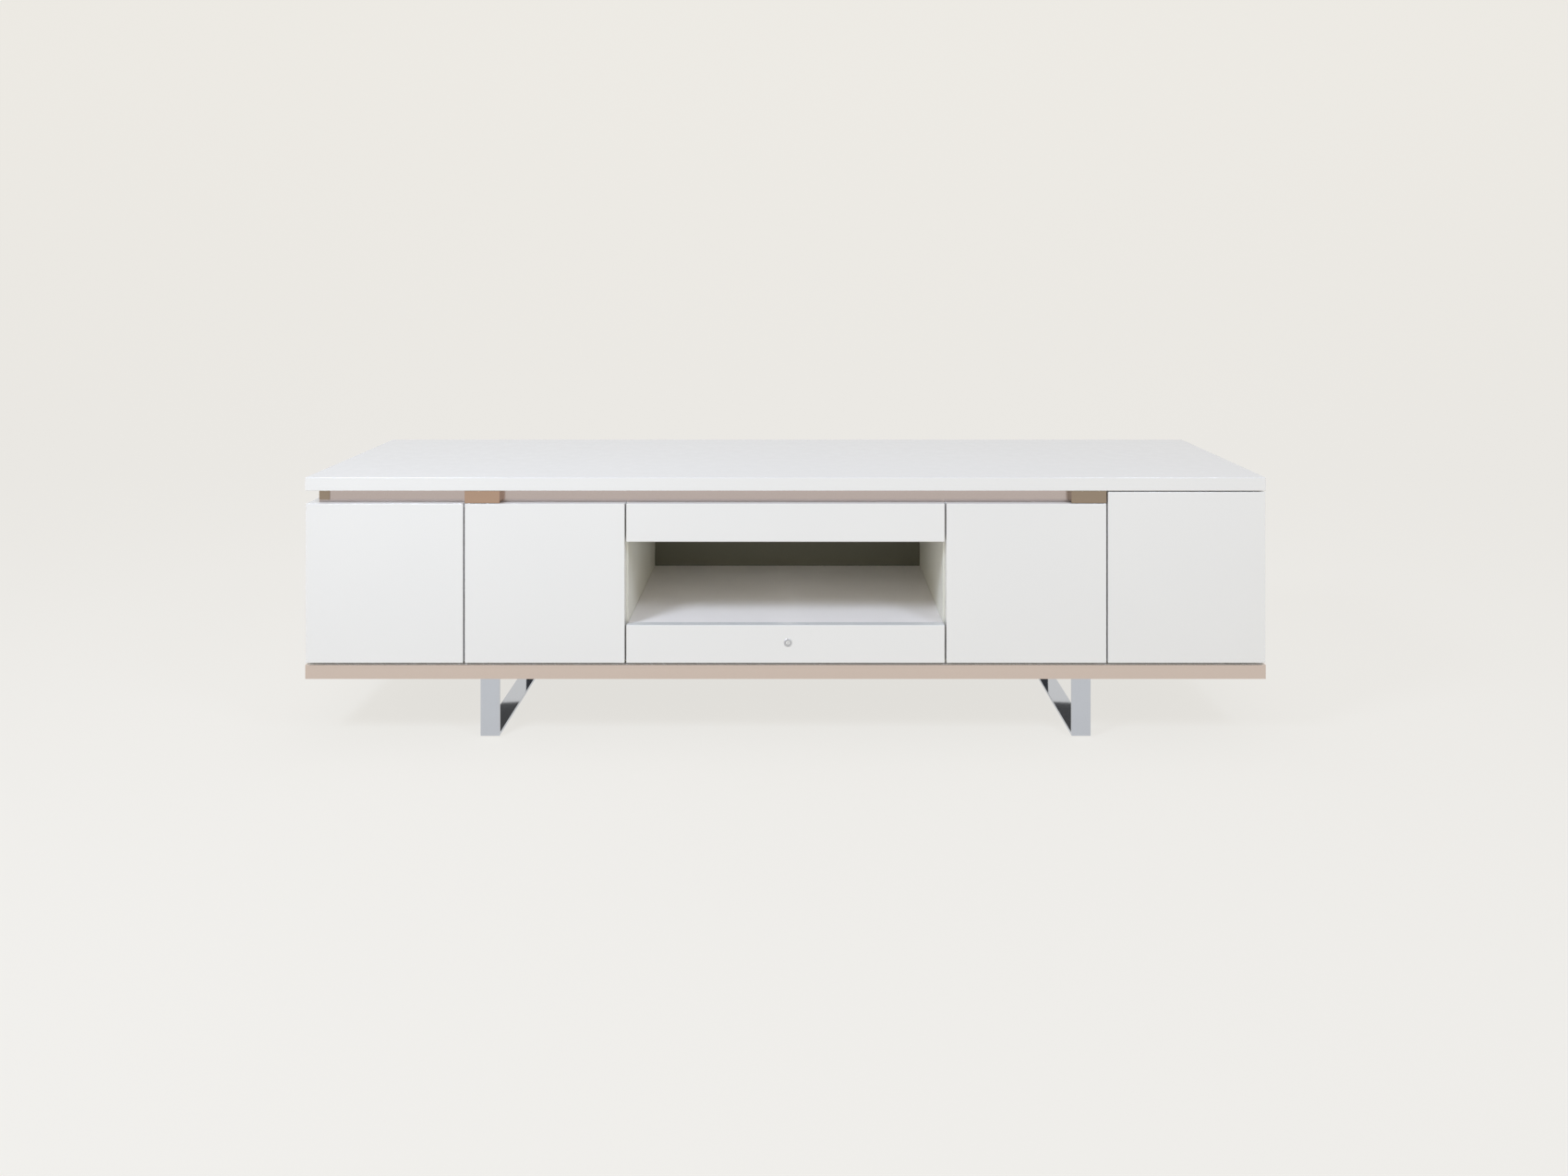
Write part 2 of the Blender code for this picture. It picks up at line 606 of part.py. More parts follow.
def make_lock(front, drawer_axis):
    """Cylinder lock through the lower drawer front, with a cam that turns up to lock."""
    centre = Vector((LOCK_X, FRONT_Y, LOCK_Z))
    front_middle = Vector((0, FRONT_Y + FRONT / 2, FRONT_LOW_Z + LOWER_FRONT / 2))
    combine(front, rod_shape(LOCK_RADIUS + TOUCH, 3 * FRONT), centre - front_middle, "DIFFERENCE")
    bore = LOCK_PLUG + TOUCH
    barrel = turned_shape([
        (bore, -LOCK_PROUD), (LOCK_ROSETTE, -LOCK_PROUD), (LOCK_ROSETTE, -TOUCH),
        (LOCK_RADIUS, -TOUCH), (LOCK_RADIUS, LOCK_LENGTH - TOUCH), (bore, LOCK_LENGTH - TOUCH),
    ])
    smooth_rounds(make_object("lock_barrel", barrel, CHROME, centre, drawer_axis))

    # The plug's axis empty rides on the drawer, and the cam points right while unlocked.
    plug_axis = make_axis("lock_plug_axis", centre - drawer_axis.location, drawer_axis)
    face = -LOCK_PROUD + TOUCH
    tail = LOCK_LENGTH + CAM_THICKNESS - TOUCH
    shape = rod_shape(LOCK_PLUG, tail - face)
    plug = make_object("lock_plug", shape, NICKEL, (0, 0, 0))
    plug.parent = plug_axis
    plug.location = (0, (face + tail) / 2, 0)
    low = (-CAM_WIDTH / 2, LOCK_LENGTH, -CAM_WIDTH / 2)
    high = (CAM_LENGTH, LOCK_LENGTH + CAM_THICKNESS, CAM_WIDTH / 2)
    combine(plug, box_shape(low, high), middle(low, high) - plug.location, "UNION")
    smooth_rounds(plug)


def make_drawers():
    make_drawer(
        "upper_drawer", FRONT_TOP_Z - UPPER_FRONT, FRONT_TOP_Z,
        NICHE_CEILING_Z + INNER, CARCASS_UNDER_Z,
    )
    front, axis = make_drawer(
        "lower_drawer", FRONT_LOW_Z, FRONT_LOW_Z + LOWER_FRONT,
        BASE_TOP_Z, NICHE_FLOOR_Z - INNER,
    )
    make_lock(front, axis)


def main():
    clear_scene()
    make_top_slab()
    make_base_board()
    make_base_trim()
    make_leg("leg_left", -END_X + LEG_END_INSET)
    make_leg("leg_right", END_X - LEG_END_INSET)
    make_spacer_frame()
    make_spacer_blocks()
    make_carcass()
    make_niche()
    make_shelves()
    make_backs()
    make_doors()
    make_push_latch()
    make_drawers()


main()
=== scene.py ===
# %% [markdown]
# # A gloss white television stand
# This lesson dresses a finished carcass. The boards, joints and sizes come from the
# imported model, which is loaded first and never moved. Each step then adds a camera, a
# light, a finish or a small fitting, the way a joiner adds hardware to a bare cabinet.
# +X runs along the stand to the right, -Y is its front, +Z is up, all in metres.

# %% Load the carcass
import json
import math

import bmesh
import bpy
from mathutils import Matrix, Vector


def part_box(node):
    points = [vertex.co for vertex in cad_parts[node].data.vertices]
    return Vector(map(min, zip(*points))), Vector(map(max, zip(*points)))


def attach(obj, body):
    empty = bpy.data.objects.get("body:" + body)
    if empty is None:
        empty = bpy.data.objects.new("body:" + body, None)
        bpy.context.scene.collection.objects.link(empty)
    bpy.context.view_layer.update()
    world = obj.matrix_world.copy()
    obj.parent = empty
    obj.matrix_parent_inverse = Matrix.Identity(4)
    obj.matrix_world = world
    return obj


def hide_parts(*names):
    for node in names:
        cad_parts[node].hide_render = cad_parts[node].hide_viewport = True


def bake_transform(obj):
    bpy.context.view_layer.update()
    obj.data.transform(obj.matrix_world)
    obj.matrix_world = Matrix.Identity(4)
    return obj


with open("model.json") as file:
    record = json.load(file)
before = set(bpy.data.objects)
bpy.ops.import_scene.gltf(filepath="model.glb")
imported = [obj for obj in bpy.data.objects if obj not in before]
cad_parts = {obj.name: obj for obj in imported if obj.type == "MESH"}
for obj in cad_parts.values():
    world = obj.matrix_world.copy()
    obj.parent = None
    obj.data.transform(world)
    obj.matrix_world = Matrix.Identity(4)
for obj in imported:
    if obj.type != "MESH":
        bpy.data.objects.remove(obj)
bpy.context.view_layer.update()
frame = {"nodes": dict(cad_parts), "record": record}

nodes = frame["nodes"]
scene = bpy.context.scene

# %% [markdown]
# ## The camera
# The stand is seen from eye height of a seated person, a little right of its middle. The
# camera looks straight ahead, so that the uprights stay parallel, and the lens is shifted
# down instead of tilted. An architect's camera does the same. Tilting it would be simpler,
# but the doors would then taper towards the floor.

# %% Camera
slab_low, slab_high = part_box("top_slab")
EYE_ABOVE_TOP = 0.442
EYE_IN_FRONT = 2.068
EYE_RIGHT = 0.022
LENS = 22.82
SHIFT_RIGHT = -0.0077
SHIFT_DOWN = -0.206
SENSOR_WIDTH = 36.0

camera_data = bpy.data.cameras.new("camera")
camera_data.sensor_width = SENSOR_WIDTH
camera_data.lens = LENS
camera_data.shift_x = SHIFT_RIGHT
camera_data.shift_y = SHIFT_DOWN
camera = bpy.data.objects.new("camera", camera_data)
camera.location = (EYE_RIGHT, slab_low.y - EYE_IN_FRONT, slab_high.z + EYE_ABOVE_TOP)
camera.rotation_euler = (math.radians(90), 0, 0)
scene.collection.objects.link(camera)
scene.camera = camera
scene.view_settings.view_transform = "Standard"
print("camera at", [round(value, 3) for value in camera.location])

# %% [markdown]
# ## Floor, backdrop and light
# White lacquer only reads as white against something a little darker and warmer, so the
# stand is shown on a pale warm paper sweep that runs up behind it with no corner. The
# paper glows by itself, as it does in a light tent, which keeps its shade even and the
# shadow under the stand light. An arc is spun between floor and wall.

# %% Paper sweep
PAPER = (0.865, 0.848, 0.81)
PAPER_GLOW = 0.845
PAPER_SHADE = 0.16
PAPER_HALF_WIDTH = 16.0
PAPER_FRONT = -14.0
WALL_Y = 5.0
WALL_HEIGHT = 6.0
SWEEP_RADIUS = 2.5
SWEEP_STEPS = 32


def make_paper():
    bm = bmesh.new()
    heel = WALL_Y - SWEEP_RADIUS
    ends = [bm.verts.new((x, PAPER_FRONT, 0)) for x in (-PAPER_HALF_WIDTH, PAPER_HALF_WIDTH)]
    edge = bm.edges.new(ends)
    swept = bmesh.ops.extrude_edge_only(bm, edges=[edge])
    ahead = [item for item in swept["geom"] if isinstance(item, bmesh.types.BMVert)]
    bmesh.ops.translate(bm, vec=(0, heel - PAPER_FRONT, 0), verts=ahead)
    edge = [item for item in swept["geom"] if isinstance(item, bmesh.types.BMEdge)]
    edge = [item for item in edge if all(vert in ahead for vert in item.verts)]
    arc = bmesh.ops.spin(bm, geom=ahead + edge, cent=(0, heel, SWEEP_RADIUS), axis=(1, 0, 0),
                         angle=math.pi / 2, steps=SWEEP_STEPS)
    last = [item for item in arc["geom_last"] if isinstance(item, bmesh.types.BMEdge)]
    swept = bmesh.ops.extrude_edge_only(bm, edges=last)
    risen = [item for item in swept["geom"] if isinstance(item, bmesh.types.BMVert)]
    bmesh.ops.translate(bm, vec=(0, 0, WALL_HEIGHT - SWEEP_RADIUS), verts=risen)
    mesh = bpy.data.meshes.new("paper")
    bm.to_mesh(mesh)
    bm.free()
    mesh.shade_smooth()
    paper = bpy.data.objects.new("paper", mesh)
    material = bpy.data.materials.new("pale_paper")
    material.use_nodes = True
    shader = material.node_tree.nodes["Principled BSDF"]
    shade = [value * PAPER_SHADE for value in PAPER]
    shader.inputs["Base Color"].default_value = (*shade, 1)
    shader.inputs["Roughness"].default_value = 1.0
    shader.inputs["Specular IOR Level"].default_value = 0.0
    shader.inputs["Emission Color"].default_value = (*PAPER, 1)
    shader.inputs["Emission Strength"].default_value = PAPER_GLOW
    mesh.materials.append(material)
    scene.collection.objects.link(paper)
    return paper


paper = make_paper()
print("paper sweep", [round(size, 2) for size in paper.dimensions])

# %% [markdown]
# ## Sky and lamps
# The room light is warm at eye level and cools towards the ceiling. Two cool soft boxes
# stand left and right of the camera at 45 degrees, as for copying a painting. They light
# the fronts evenly, and each one throws the edge of the upper drawer's shadow across the
# floor of the niche. The left one is stronger, so the doors fade towards the right.

# %% Sky and lamps
HORIZON = (1.04, 0.92, 0.66)
ZENITH = (0.31, 0.34, 0.46)
LAMP_COLOUR = (0.77, 0.86, 1.0)
LAMP_SIZE = 0.7
LAMP_HEIGHT_ANGLE = math.radians(43)
LAMP_DISTANCE = 3.2
LAMPS = {"lamp_left": (math.radians(-47), 46), "lamp_right": (math.radians(43), 22)}
LAMP_TARGET = Vector((0, -0.05, 0.25))


def make_sky():
    """Light from all sides; past the paper, the camera and mirrors see the paper's colour."""
    world = bpy.data.worlds.new("sky")
    scene.world = world
    world.use_nodes = True
    tree = world.node_tree
    place = tree.nodes.new("ShaderNodeTexCoord")
    split = tree.nodes.new("ShaderNodeSeparateXYZ")
    ramp = tree.nodes.new("ShaderNodeValToRGB")
    ramp.color_ramp.elements[0].color = (*HORIZON, 1)
    ramp.color_ramp.elements[1].color = (*ZENITH, 1)
    light = tree.nodes["Background"]
    seen = tree.nodes.new("ShaderNodeBackground")
    far_paper = [value * (PAPER_GLOW + PAPER_SHADE / 2) for value in PAPER]
    seen.inputs["Color"].default_value = (*far_paper, 1)
    path = tree.nodes.new("ShaderNodeLightPath")
    either = tree.nodes.new("ShaderNodeMath")
    either.operation = "MAXIMUM"
    mix = tree.nodes.new("ShaderNodeMixShader")
    tree.links.new(place.outputs["Generated"], split.inputs["Vector"])
    tree.links.new(split.outputs["Z"], ramp.inputs["Fac"])
    tree.links.new(ramp.outputs["Color"], light.inputs["Color"])
    tree.links.new(path.outputs["Is Camera Ray"], either.inputs[0])
    tree.links.new(path.outputs["Is Glossy Ray"], either.inputs[1])
    tree.links.new(either.outputs[0], mix.inputs[0])
    tree.links.new(light.outputs[0], mix.inputs[1])
    tree.links.new(seen.outputs[0], mix.inputs[2])
    tree.links.new(mix.outputs[0], tree.nodes["World Output"].inputs["Surface"])


def make_lamp(name, bearing, power):
    """A soft box that looks at the niche from a bearing right of straight ahead."""
    data = bpy.data.lights.new(name, "AREA")
    data.shape = "SQUARE"
    data.size = LAMP_SIZE
    data.energy = power
    data.color = LAMP_COLOUR
    lamp = bpy.data.objects.new(name, data)
    flat = LAMP_DISTANCE * math.cos(LAMP_HEIGHT_ANGLE)
    rise = LAMP_DISTANCE * math.sin(LAMP_HEIGHT_ANGLE)
    offset = Vector((flat * math.sin(bearing), -flat * math.cos(bearing), rise))
    lamp.location = LAMP_TARGET + offset
    lamp.rotation_euler = (-offset).to_track_quat("-Z", "Y").to_euler()
    scene.collection.objects.link(lamp)
    return lamp


make_sky()
for lamp_name, (bearing, power) in LAMPS.items():
    make_lamp(lamp_name, bearing, power)

# %% [markdown]
# ## How a finish is mixed
# Every finish here is one Principled shader. Three small helpers feed it: a noise read in
# metres from the object's own coordinates, a range that turns the noise into a roughness
# or a shade, and a bump for the surface you would feel. Painting an image would work too,
# but a noise has no seams and keeps its real size on every board.

# %% Helpers for finishes
NOISE_SPAN = (0.3, 0.7)
TINT_SPAN = (0.35, 0.65)


def new_finish(name, colour, roughness, metallic=0.0):
    """A material with its constant values set straight on the shader."""
    material = bpy.data.materials.new(name)
    material.use_nodes = True
    shader = material.node_tree.nodes["Principled BSDF"]
    shader.inputs["Base Color"].default_value = (*colour, 1)
    shader.inputs["Roughness"].default_value = roughness
    shader.inputs["Metallic"].default_value = metallic
    return material, shader


def add_noise(material, scale, stretch=(1, 1, 1), detail=2.0):
    """Noise on the object's coordinates; scale counts its waves in a metre."""
    tree = material.node_tree
    place = tree.nodes.new("ShaderNodeTexCoord")
    mapping = tree.nodes.new("ShaderNodeMapping")
    mapping.inputs["Scale"].default_value = stretch
    noise = tree.nodes.new("ShaderNodeTexNoise")
    noise.inputs["Scale"].default_value = scale
    noise.inputs["Detail"].default_value = detail
    tree.links.new(place.outputs["Object"], mapping.inputs["Vector"])
    tree.links.new(mapping.outputs["Vector"], noise.inputs["Vector"])
    return noise.outputs["Fac"]


def vary(material, source, socket, low, high):
    """Let a noise move a shader's number between two values."""
    tree = material.node_tree
    span = tree.nodes.new("ShaderNodeMapRange")
    span.inputs["From Min"].default_value = NOISE_SPAN[0]
    span.inputs["From Max"].default_value = NOISE_SPAN[1]
    span.inputs["To Min"].default_value = low
    span.inputs["To Max"].default_value = high
    tree.links.new(source, span.inputs["Value"])
    tree.links.new(span.outputs["Result"], socket)


def tint(material, source, socket, first, second):
    """Let a noise mix two shades of a colour."""
    tree = material.node_tree
    ramp = tree.nodes.new("ShaderNodeValToRGB")
    ramp.color_ramp.elements[0].position = TINT_SPAN[0]
    ramp.color_ramp.elements[0].color = (*first, 1)
    ramp.color_ramp.elements[1].position = TINT_SPAN[1]
    ramp.color_ramp.elements[1].color = (*second, 1)
    tree.links.new(source, ramp.inputs["Fac"])
    tree.links.new(ramp.outputs["Color"], socket)


def add_bump(material, source, height, strength=1.0):
    """Raise the surface by a noise; height is in metres."""
    tree = material.node_tree
    shader = tree.nodes["Principled BSDF"]
    bump = tree.nodes.new("ShaderNodeBump")
    bump.inputs["Distance"].default_value = height
    bump.inputs["Strength"].default_value = strength
    tree.links.new(source, bump.inputs["Height"])
    earlier = shader.inputs["Normal"].links
    if earlier:
        tree.links.new(earlier[0].from_socket, bump.inputs["Normal"])
    tree.links.new(bump.outputs["Normal"], shader.inputs["Normal"])


print("finish helpers ready")

# %% [markdown]
# ## Gloss white lacquer
# The fronts and the slab are fibreboard, sprayed white, sanded and sprayed clear. The
# clear coat is a second, sharper reflection over the paint, so it goes on the Coat
# sockets. Sprayed lacquer is never a mirror: it dries with a faint ripple a few
# millimetres long, called orange peel, and dusting leaves soft swirls in its gloss.

# %% White lacquer
LACQUER_WHITE = (0.745, 0.75, 0.76)
LACQUER_DULL = (0.74, 0.745, 0.757)
LACQUER_CLEAN = (0.752, 0.757, 0.767)
CLOUDS_PER_METRE = 2.5
SWIRLS_PER_METRE = 40
PEEL_PER_METRE = 260
PEEL_HEIGHT = 0.00002


def gloss_lacquer():
    material, shader = new_finish("gloss_lacquer", LACQUER_WHITE, 0.2)
    shader.inputs["IOR"].default_value = 1.47
    shader.inputs["Coat Weight"].default_value = 0.6
    shader.inputs["Coat Roughness"].default_value = 0.05
    cloud = add_noise(material, CLOUDS_PER_METRE, detail=3)
    tint(material, cloud, shader.inputs["Base Color"], LACQUER_DULL, LACQUER_CLEAN)
    swirl = add_noise(material, SWIRLS_PER_METRE, detail=3)
    vary(material, swirl, shader.inputs["Roughness"], 0.17, 0.23)
    add_bump(material, add_noise(material, PEEL_PER_METRE, detail=1), PEEL_HEIGHT, 0.02)
    return material


LACQUER = gloss_lacquer()
lacquer_shader = LACQUER.node_tree.nodes["Principled BSDF"]
print(LACQUER.name, "coat weight", lacquer_shader.inputs["Coat Weight"].default_value)

# %% [markdown]
# ## White melamine and the dark niche back
# Inside, the boards only wear a pressed melamine sheet: satin, with a fine pearl texture
# that hides scratches. The back of the niche is a thin board in dark olive grey, so that
# cables and plugs disappear in it, and its outer side is plain white like the other
# backs. The base board is white inside, and its underside is painted near black as shade,
# so that the polished legs mirror a dark underside. A step on one coordinate tells the two
# sides of such a board apart.

# %% Board finishes
PEARLS_PER_METRE = 700
PEARL_HEIGHT = 0.00006
MOTTLES_PER_METRE = 14
MOTTLE_SHADE = 0.985
FIBRES_PER_METRE = 500
FIBRE_HEIGHT = 0.00008


def white_board(name, colour):
    """Satin melamine sheet in one shade of white."""
    material, shader = new_finish(name, colour, 0.42)
    pearl = add_noise(material, PEARLS_PER_METRE, detail=2)
    mottle = add_noise(material, MOTTLES_PER_METRE, detail=4)
    darker = [value * MOTTLE_SHADE for value in colour]
    tint(material, mottle, shader.inputs["Base Color"], darker, colour)
    vary(material, pearl, shader.inputs["Roughness"], 0.36, 0.5)
    add_bump(material, pearl, PEARL_HEIGHT, 0.5)
    return material


def two_faced_board(name, below, above, axis, limit):
    """A board with one colour below a place on an axis, and another above it."""
    material, shader = new_finish(name, below, 0.55)
    tree = material.node_tree
    place = tree.nodes.new("ShaderNodeTexCoord")
    split = tree.nodes.new("ShaderNodeSeparateXYZ")
    past = tree.nodes.new("ShaderNodeMath")
    past.operation = "GREATER_THAN"
    past.inputs[1].default_value = limit
    sides = tree.nodes.new("ShaderNodeMix")
    sides.data_type = "RGBA"
    sides.inputs["A"].default_value = (*below, 1)
    sides.inputs["B"].default_value = (*above, 1)
    tree.links.new(place.outputs["Object"], split.inputs["Vector"])
    tree.links.new(split.outputs[axis], past.inputs[0])
    tree.links.new(past.outputs[0], sides.inputs["Factor"])
    tree.links.new(sides.outputs["Result"], shader.inputs["Base Color"])
    grain = add_noise(material, FIBRES_PER_METRE, detail=3)
    vary(material, grain, shader.inputs["Roughness"], 0.48, 0.62)
    add_bump(material, grain, FIBRE_HEIGHT, 0.5)
    return material


MELAMINE = (0.80, 0.79, 0.765)
BOARD = white_board("satin_melamine", MELAMINE)
# The niche floor and sides are lighter, tinted copies of the melamine: painted warm light on the
# floor, painted greenish light on the sides and ceiling.
NICHE_FLOOR_PAINTED_LIGHT = white_board("niche_floor_painted_light", (0.90, 0.87, 0.87))
NICHE_SIDES_PAINTED_LIGHT = white_board("niche_side_painted_light", (0.82, 0.82, 0.765))
DARK_OLIVE = (0.13, 0.13, 0.10)
# The base board's underside colour is painted shade, near black, for the legs to mirror.
UNDERSIDE_PAINTED_SHADE = (0.035, 0.035, 0.037)
JUST_INSIDE = 0.0005
NICHE_BACK = two_faced_board("olive_back_board", DARK_OLIVE, MELAMINE, "Y",
                             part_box("back_panel_centre")[1].y - JUST_INSIDE)
BASE_BOARD_PAINTED_SHADE = two_faced_board("underside_painted_shade_board", UNDERSIDE_PAINTED_SHADE, MELAMINE, "Z",
                             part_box("base_board")[0].z + JUST_INSIDE)
boards = (BOARD, NICHE_FLOOR_PAINTED_LIGHT, NICHE_SIDES_PAINTED_LIGHT, NICHE_BACK, BASE_BOARD_PAINTED_SHADE)
print("boards:", [material.name for material in boards])

# %% [markdown]
# ## Polished metals
# Three metals are in sight: chromed flat bar on the legs, polished steel on the base band
# and the spacers, whose warm tint is a painted warm reflection, and satin chrome on the
# lock. The right spacer block and the rail's end cap take a darker copy of that steel, a
# painted dark reflection. Behind the doors come satin nickel and bright zinc.
# A metal has no colour of its own beyond the tint of its reflection, so what makes it
# believable is its roughness: fine polishing lines along the bar and faint finger haze.

# %% Metal finishes
LINES_PER_METRE = 1800
LINE_STRETCH = 0.02
LINE_HEIGHT = 0.000004
SMUDGES_PER_METRE = 16


def polished_metal(name, colour, roughness, along, haze=0.05):
    """Polished metal with lines along one axis: 0 for X, 1 for Y, 2 for Z."""
    material, shader = new_finish(name, colour, roughness, metallic=1.0)
    stretch = [1.0, 1.0, 1.0]
    stretch[along] = LINE_STRETCH
    lines = add_noise(material, LINES_PER_METRE, stretch, detail=3)
    smudge = add_noise(material, SMUDGES_PER_METRE, detail=5)
    vary(material, smudge, shader.inputs["Roughness"], roughness, roughness + haze)
    add_bump(material, lines, LINE_HEIGHT, 0.4)
    return material


# Polished steel; the warm tint in the next three colours is painted warm reflection.
STEEL_PAINTED_WARM_REFLECTION = polished_metal("steel_painted_warm_reflection", (0.675, 0.57, 0.51), 0.10, 0)
BLOCK_PAINTED_WARM_REFLECTION = polished_metal("block_painted_warm_reflection", (0.50, 0.35, 0.26), 0.08, 0)
STRIP_PAINTED_WARM_REFLECTION = polished_metal("strip_painted_warm_reflection", (0.55, 0.475, 0.45), 0.16, 0)
# A darker copy of the steel: painted dark reflection, for the right block and the rail's end cap.
STEEL_PAINTED_DARK_REFLECTION = polished_metal("steel_painted_dark_reflection", (0.35, 0.28, 0.215), 0.09, 0)
CHROME = polished_metal("leg_chrome", (0.58, 0.61, 0.67), 0.05, 2, haze=0.03)
LOCK_RING = polished_metal("lock_ring", (0.60, 0.61, 0.64), 0.34, 2)
LOCK_FACE = polished_metal("lock_face", (0.84, 0.85, 0.87), 0.30, 1)
NICKEL = polished_metal("satin_nickel", (0.62, 0.61, 0.59), 0.22, 1)
ZINC = polished_metal("bright_zinc", (0.55, 0.57, 0.60), 0.32, 1)
metals = (STEEL_PAINTED_WARM_REFLECTION, BLOCK_PAINTED_WARM_REFLECTION, STRIP_PAINTED_WARM_REFLECTION, STEEL_PAINTED_DARK_REFLECTION, CHROME, LOCK_RING, LOCK_FACE, NICKEL, ZINC)
print("metals:", [material.name for material in metals])

# %% [markdown]
# ## Moulded plastics
# Glides and the push latch are moulded. A mould is spark-eroded on purpose, which prints
# a fine even grain on the part, so a small bump with a high scale is all they need.

# %% Plastic finishes
GRAIN_PER_METRE = 1500
GRAIN_HEIGHT = 0.00003


def moulded_plastic(name, colour, roughness):
    material, shader = new_finish(name, colour, roughness)
    grain = add_noise(material, GRAIN_PER_METRE, detail=2)
    vary(material, grain, shader.inputs["Roughness"], roughness - 0.05, roughness + 0.08)
    add_bump(material, grain, GRAIN_HEIGHT, 0.5)
    return material


BLACK_PLASTIC = moulded_plastic("moulded_black", (0.02, 0.02, 0.02), 0.5)
GREY_PLASTIC = moulded_plastic("moulded_grey", (0.42, 0.43, 0.44), 0.45)
print("plastics:", BLACK_PLASTIC.name, GREY_PLASTIC.name)

# %% [markdown]
# ## Finish the carcass boards
# The boards that are already right keep their own mesh and only take a finish. The
# record names a slot for each node, so most of the work is one dictionary. The metal
# strip, the base board and the boards round the niche differ from their slot's plain
# finish, and are set after it: the strip carries a painted warm reflection, the base
# board painted shade underneath, and the niche boards painted light.

# %% Finishes by slot
FINISH_OF_SLOT = {
    "white_lacquer": LACQUER,
    "white_board": BOARD,
    "grey_back": NICHE_BACK,
    "warm_steel": STEEL_PAINTED_WARM_REFLECTION,
    "polished_chrome": CHROME,
    "nickel_steel": NICKEL,
    "zinc_steel": ZINC,
    "grey_plastic": GREY_PLASTIC,
    "black_plastic": BLACK_PLASTIC,
}


def paint(node, material):
    mesh = nodes[node].data
    mesh.materials.clear()
    mesh.materials.append(material)


for entry in frame["record"]["subparts"]:
    paint(entry["node"], FINISH_OF_SLOT[entry["material_slot"]])
# The strip's colour holds a painted warm reflection.
paint("spacer_frame", STRIP_PAINTED_WARM_REFLECTION)
paint("niche_floor", NICHE_FLOOR_PAINTED_LIGHT)
# The base board takes painted shade on its underside.
paint("base_board", BASE_BOARD_PAINTED_SHADE)
for node in ("niche_ceiling", "partition_left", "partition_right"):
    paint(node, NICHE_SIDES_PAINTED_LIGHT)
print("finished", len(nodes), "boards and fittings")

# %% [markdown]
# ## How a piece is kept
# Every new piece goes through one helper. It shades the rounds smooth but keeps corners
# over 40 degrees sharp, ties the piece to the body that it moves with, puts its finish on
# it, and hides the bare board it stands for.

# %% Keep a finished piece
SHARP_ANGLE = math.radians(40)
RING_STEPS = 48


def place_mesh(name, bm, material):
    """Turn a bmesh into a smooth-shaded object with a finish."""
    mesh = bpy.data.meshes.new(name)
    bm.to_mesh(mesh)
    bm.free()
    mesh.materials.append(material)
    mesh.shade_smooth()
    mesh.set_sharp_from_angle(angle=SHARP_ANGLE)
    piece = bpy.data.objects.new(name, mesh)
    scene.collection.objects.link(piece)
    return piece


def keep_piece(name, bm, material, body, stands_for=()):
    """A piece of the stand that moves with a body, and may stand for nodes."""
    piece = place_mesh(name, bm, material)
    weighted = piece.modifiers.new("even_shading", "WEIGHTED_NORMAL")
    weighted.keep_sharp = True
    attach(piece, body)
    if stands_for:
        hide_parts(*stands_for)
    return piece


def box_bmesh(low, high):
    """A box between two corners."""
    bm = bmesh.new()
    bmesh.ops.create_cube(bm, size=1.0)
    bmesh.ops.scale(bm, vec=Vector(high) - Vector(low), verts=bm.verts)
    bmesh.ops.translate(bm, vec=(Vector(low) + Vector(high)) / 2, verts=bm.verts)
    return bm


def round_edges(bm, radius, segments=4, edges=None):
    """Round the given edges, or all of them."""
    bmesh.ops.bevel(bm, geom=edges or bm.edges[:], offset=radius, segments=segments,
                    profile=0.5, affect="EDGES", material=-1, clamp_overlap=True)


def draw_ring(bm, centre, radius):
    """A circle of edges in the plane of the fronts."""
    upright = Matrix.Translation(centre) @ Matrix.Rotation(math.pi / 2, 4, "X")
    made = bmesh.ops.create_circle(bm, segments=RING_STEPS, radius=radius, matrix=upright)
    return list({edge for vert in made["verts"] for edge in vert.link_edges})


def middle_of(node):
    low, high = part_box(node)
    return (low + high) / 2


def facing_face(bm, sign):
    """The largest face that looks along Y, to the front with -1 or the back with 1."""
    return max((face for face in bm.faces if face.normal.y * sign > 0.99),
               key=lambda face: face.calc_area())


def verts_in(made):
    """The new vertices among what an extrusion made."""
    return [item for item in made["geom"] if isinstance(item, bmesh.types.BMVert)]


def close_floor(bm, verts):
    """Fill the loop of edges that lies wholly among some vertices."""
    loop = [edge for edge in bm.edges if all(vert in verts for vert in edge.verts)]
    bmesh.ops.edgeloop_fill(bm, edges=loop)


print("piece helpers ready")

# %% [markdown]
# ## The top slab
# A single thick board. Lacquer cannot hold on a sharp edge, so the joiner breaks every
# edge with sandpaper to a radius of about a millimetre and a half. That tiny round is
# what catches the bright line along the front, and four segments keep it smooth.

# %% Top slab
SLAB_ROUND = 0.0015
bm = box_bmesh(slab_low, slab_high)
round_edges(bm, SLAB_ROUND)
keep_piece("slab_lacquered", bm, LACQUER, "carcass", ["top_slab"])
print("slab", [round(value, 3) for value in slab_high - slab_low])

# %% [markdown]
# ## Doors and drawer fronts
# A front is a flat lacquered board with broken edges. The doors also have two round
# bores in the back for their hinge cups. A boolean could cut them; here the back face is
# removed, circles are drawn in its plane, the face is filled again round them, and the
# circles are pushed into the board, which leaves clean, even rims.

# %% Fronts
FRONT_ROUND = 0.0012
BORE_RADIUS = 0.0175
BORE_DEPTH = 0.0115


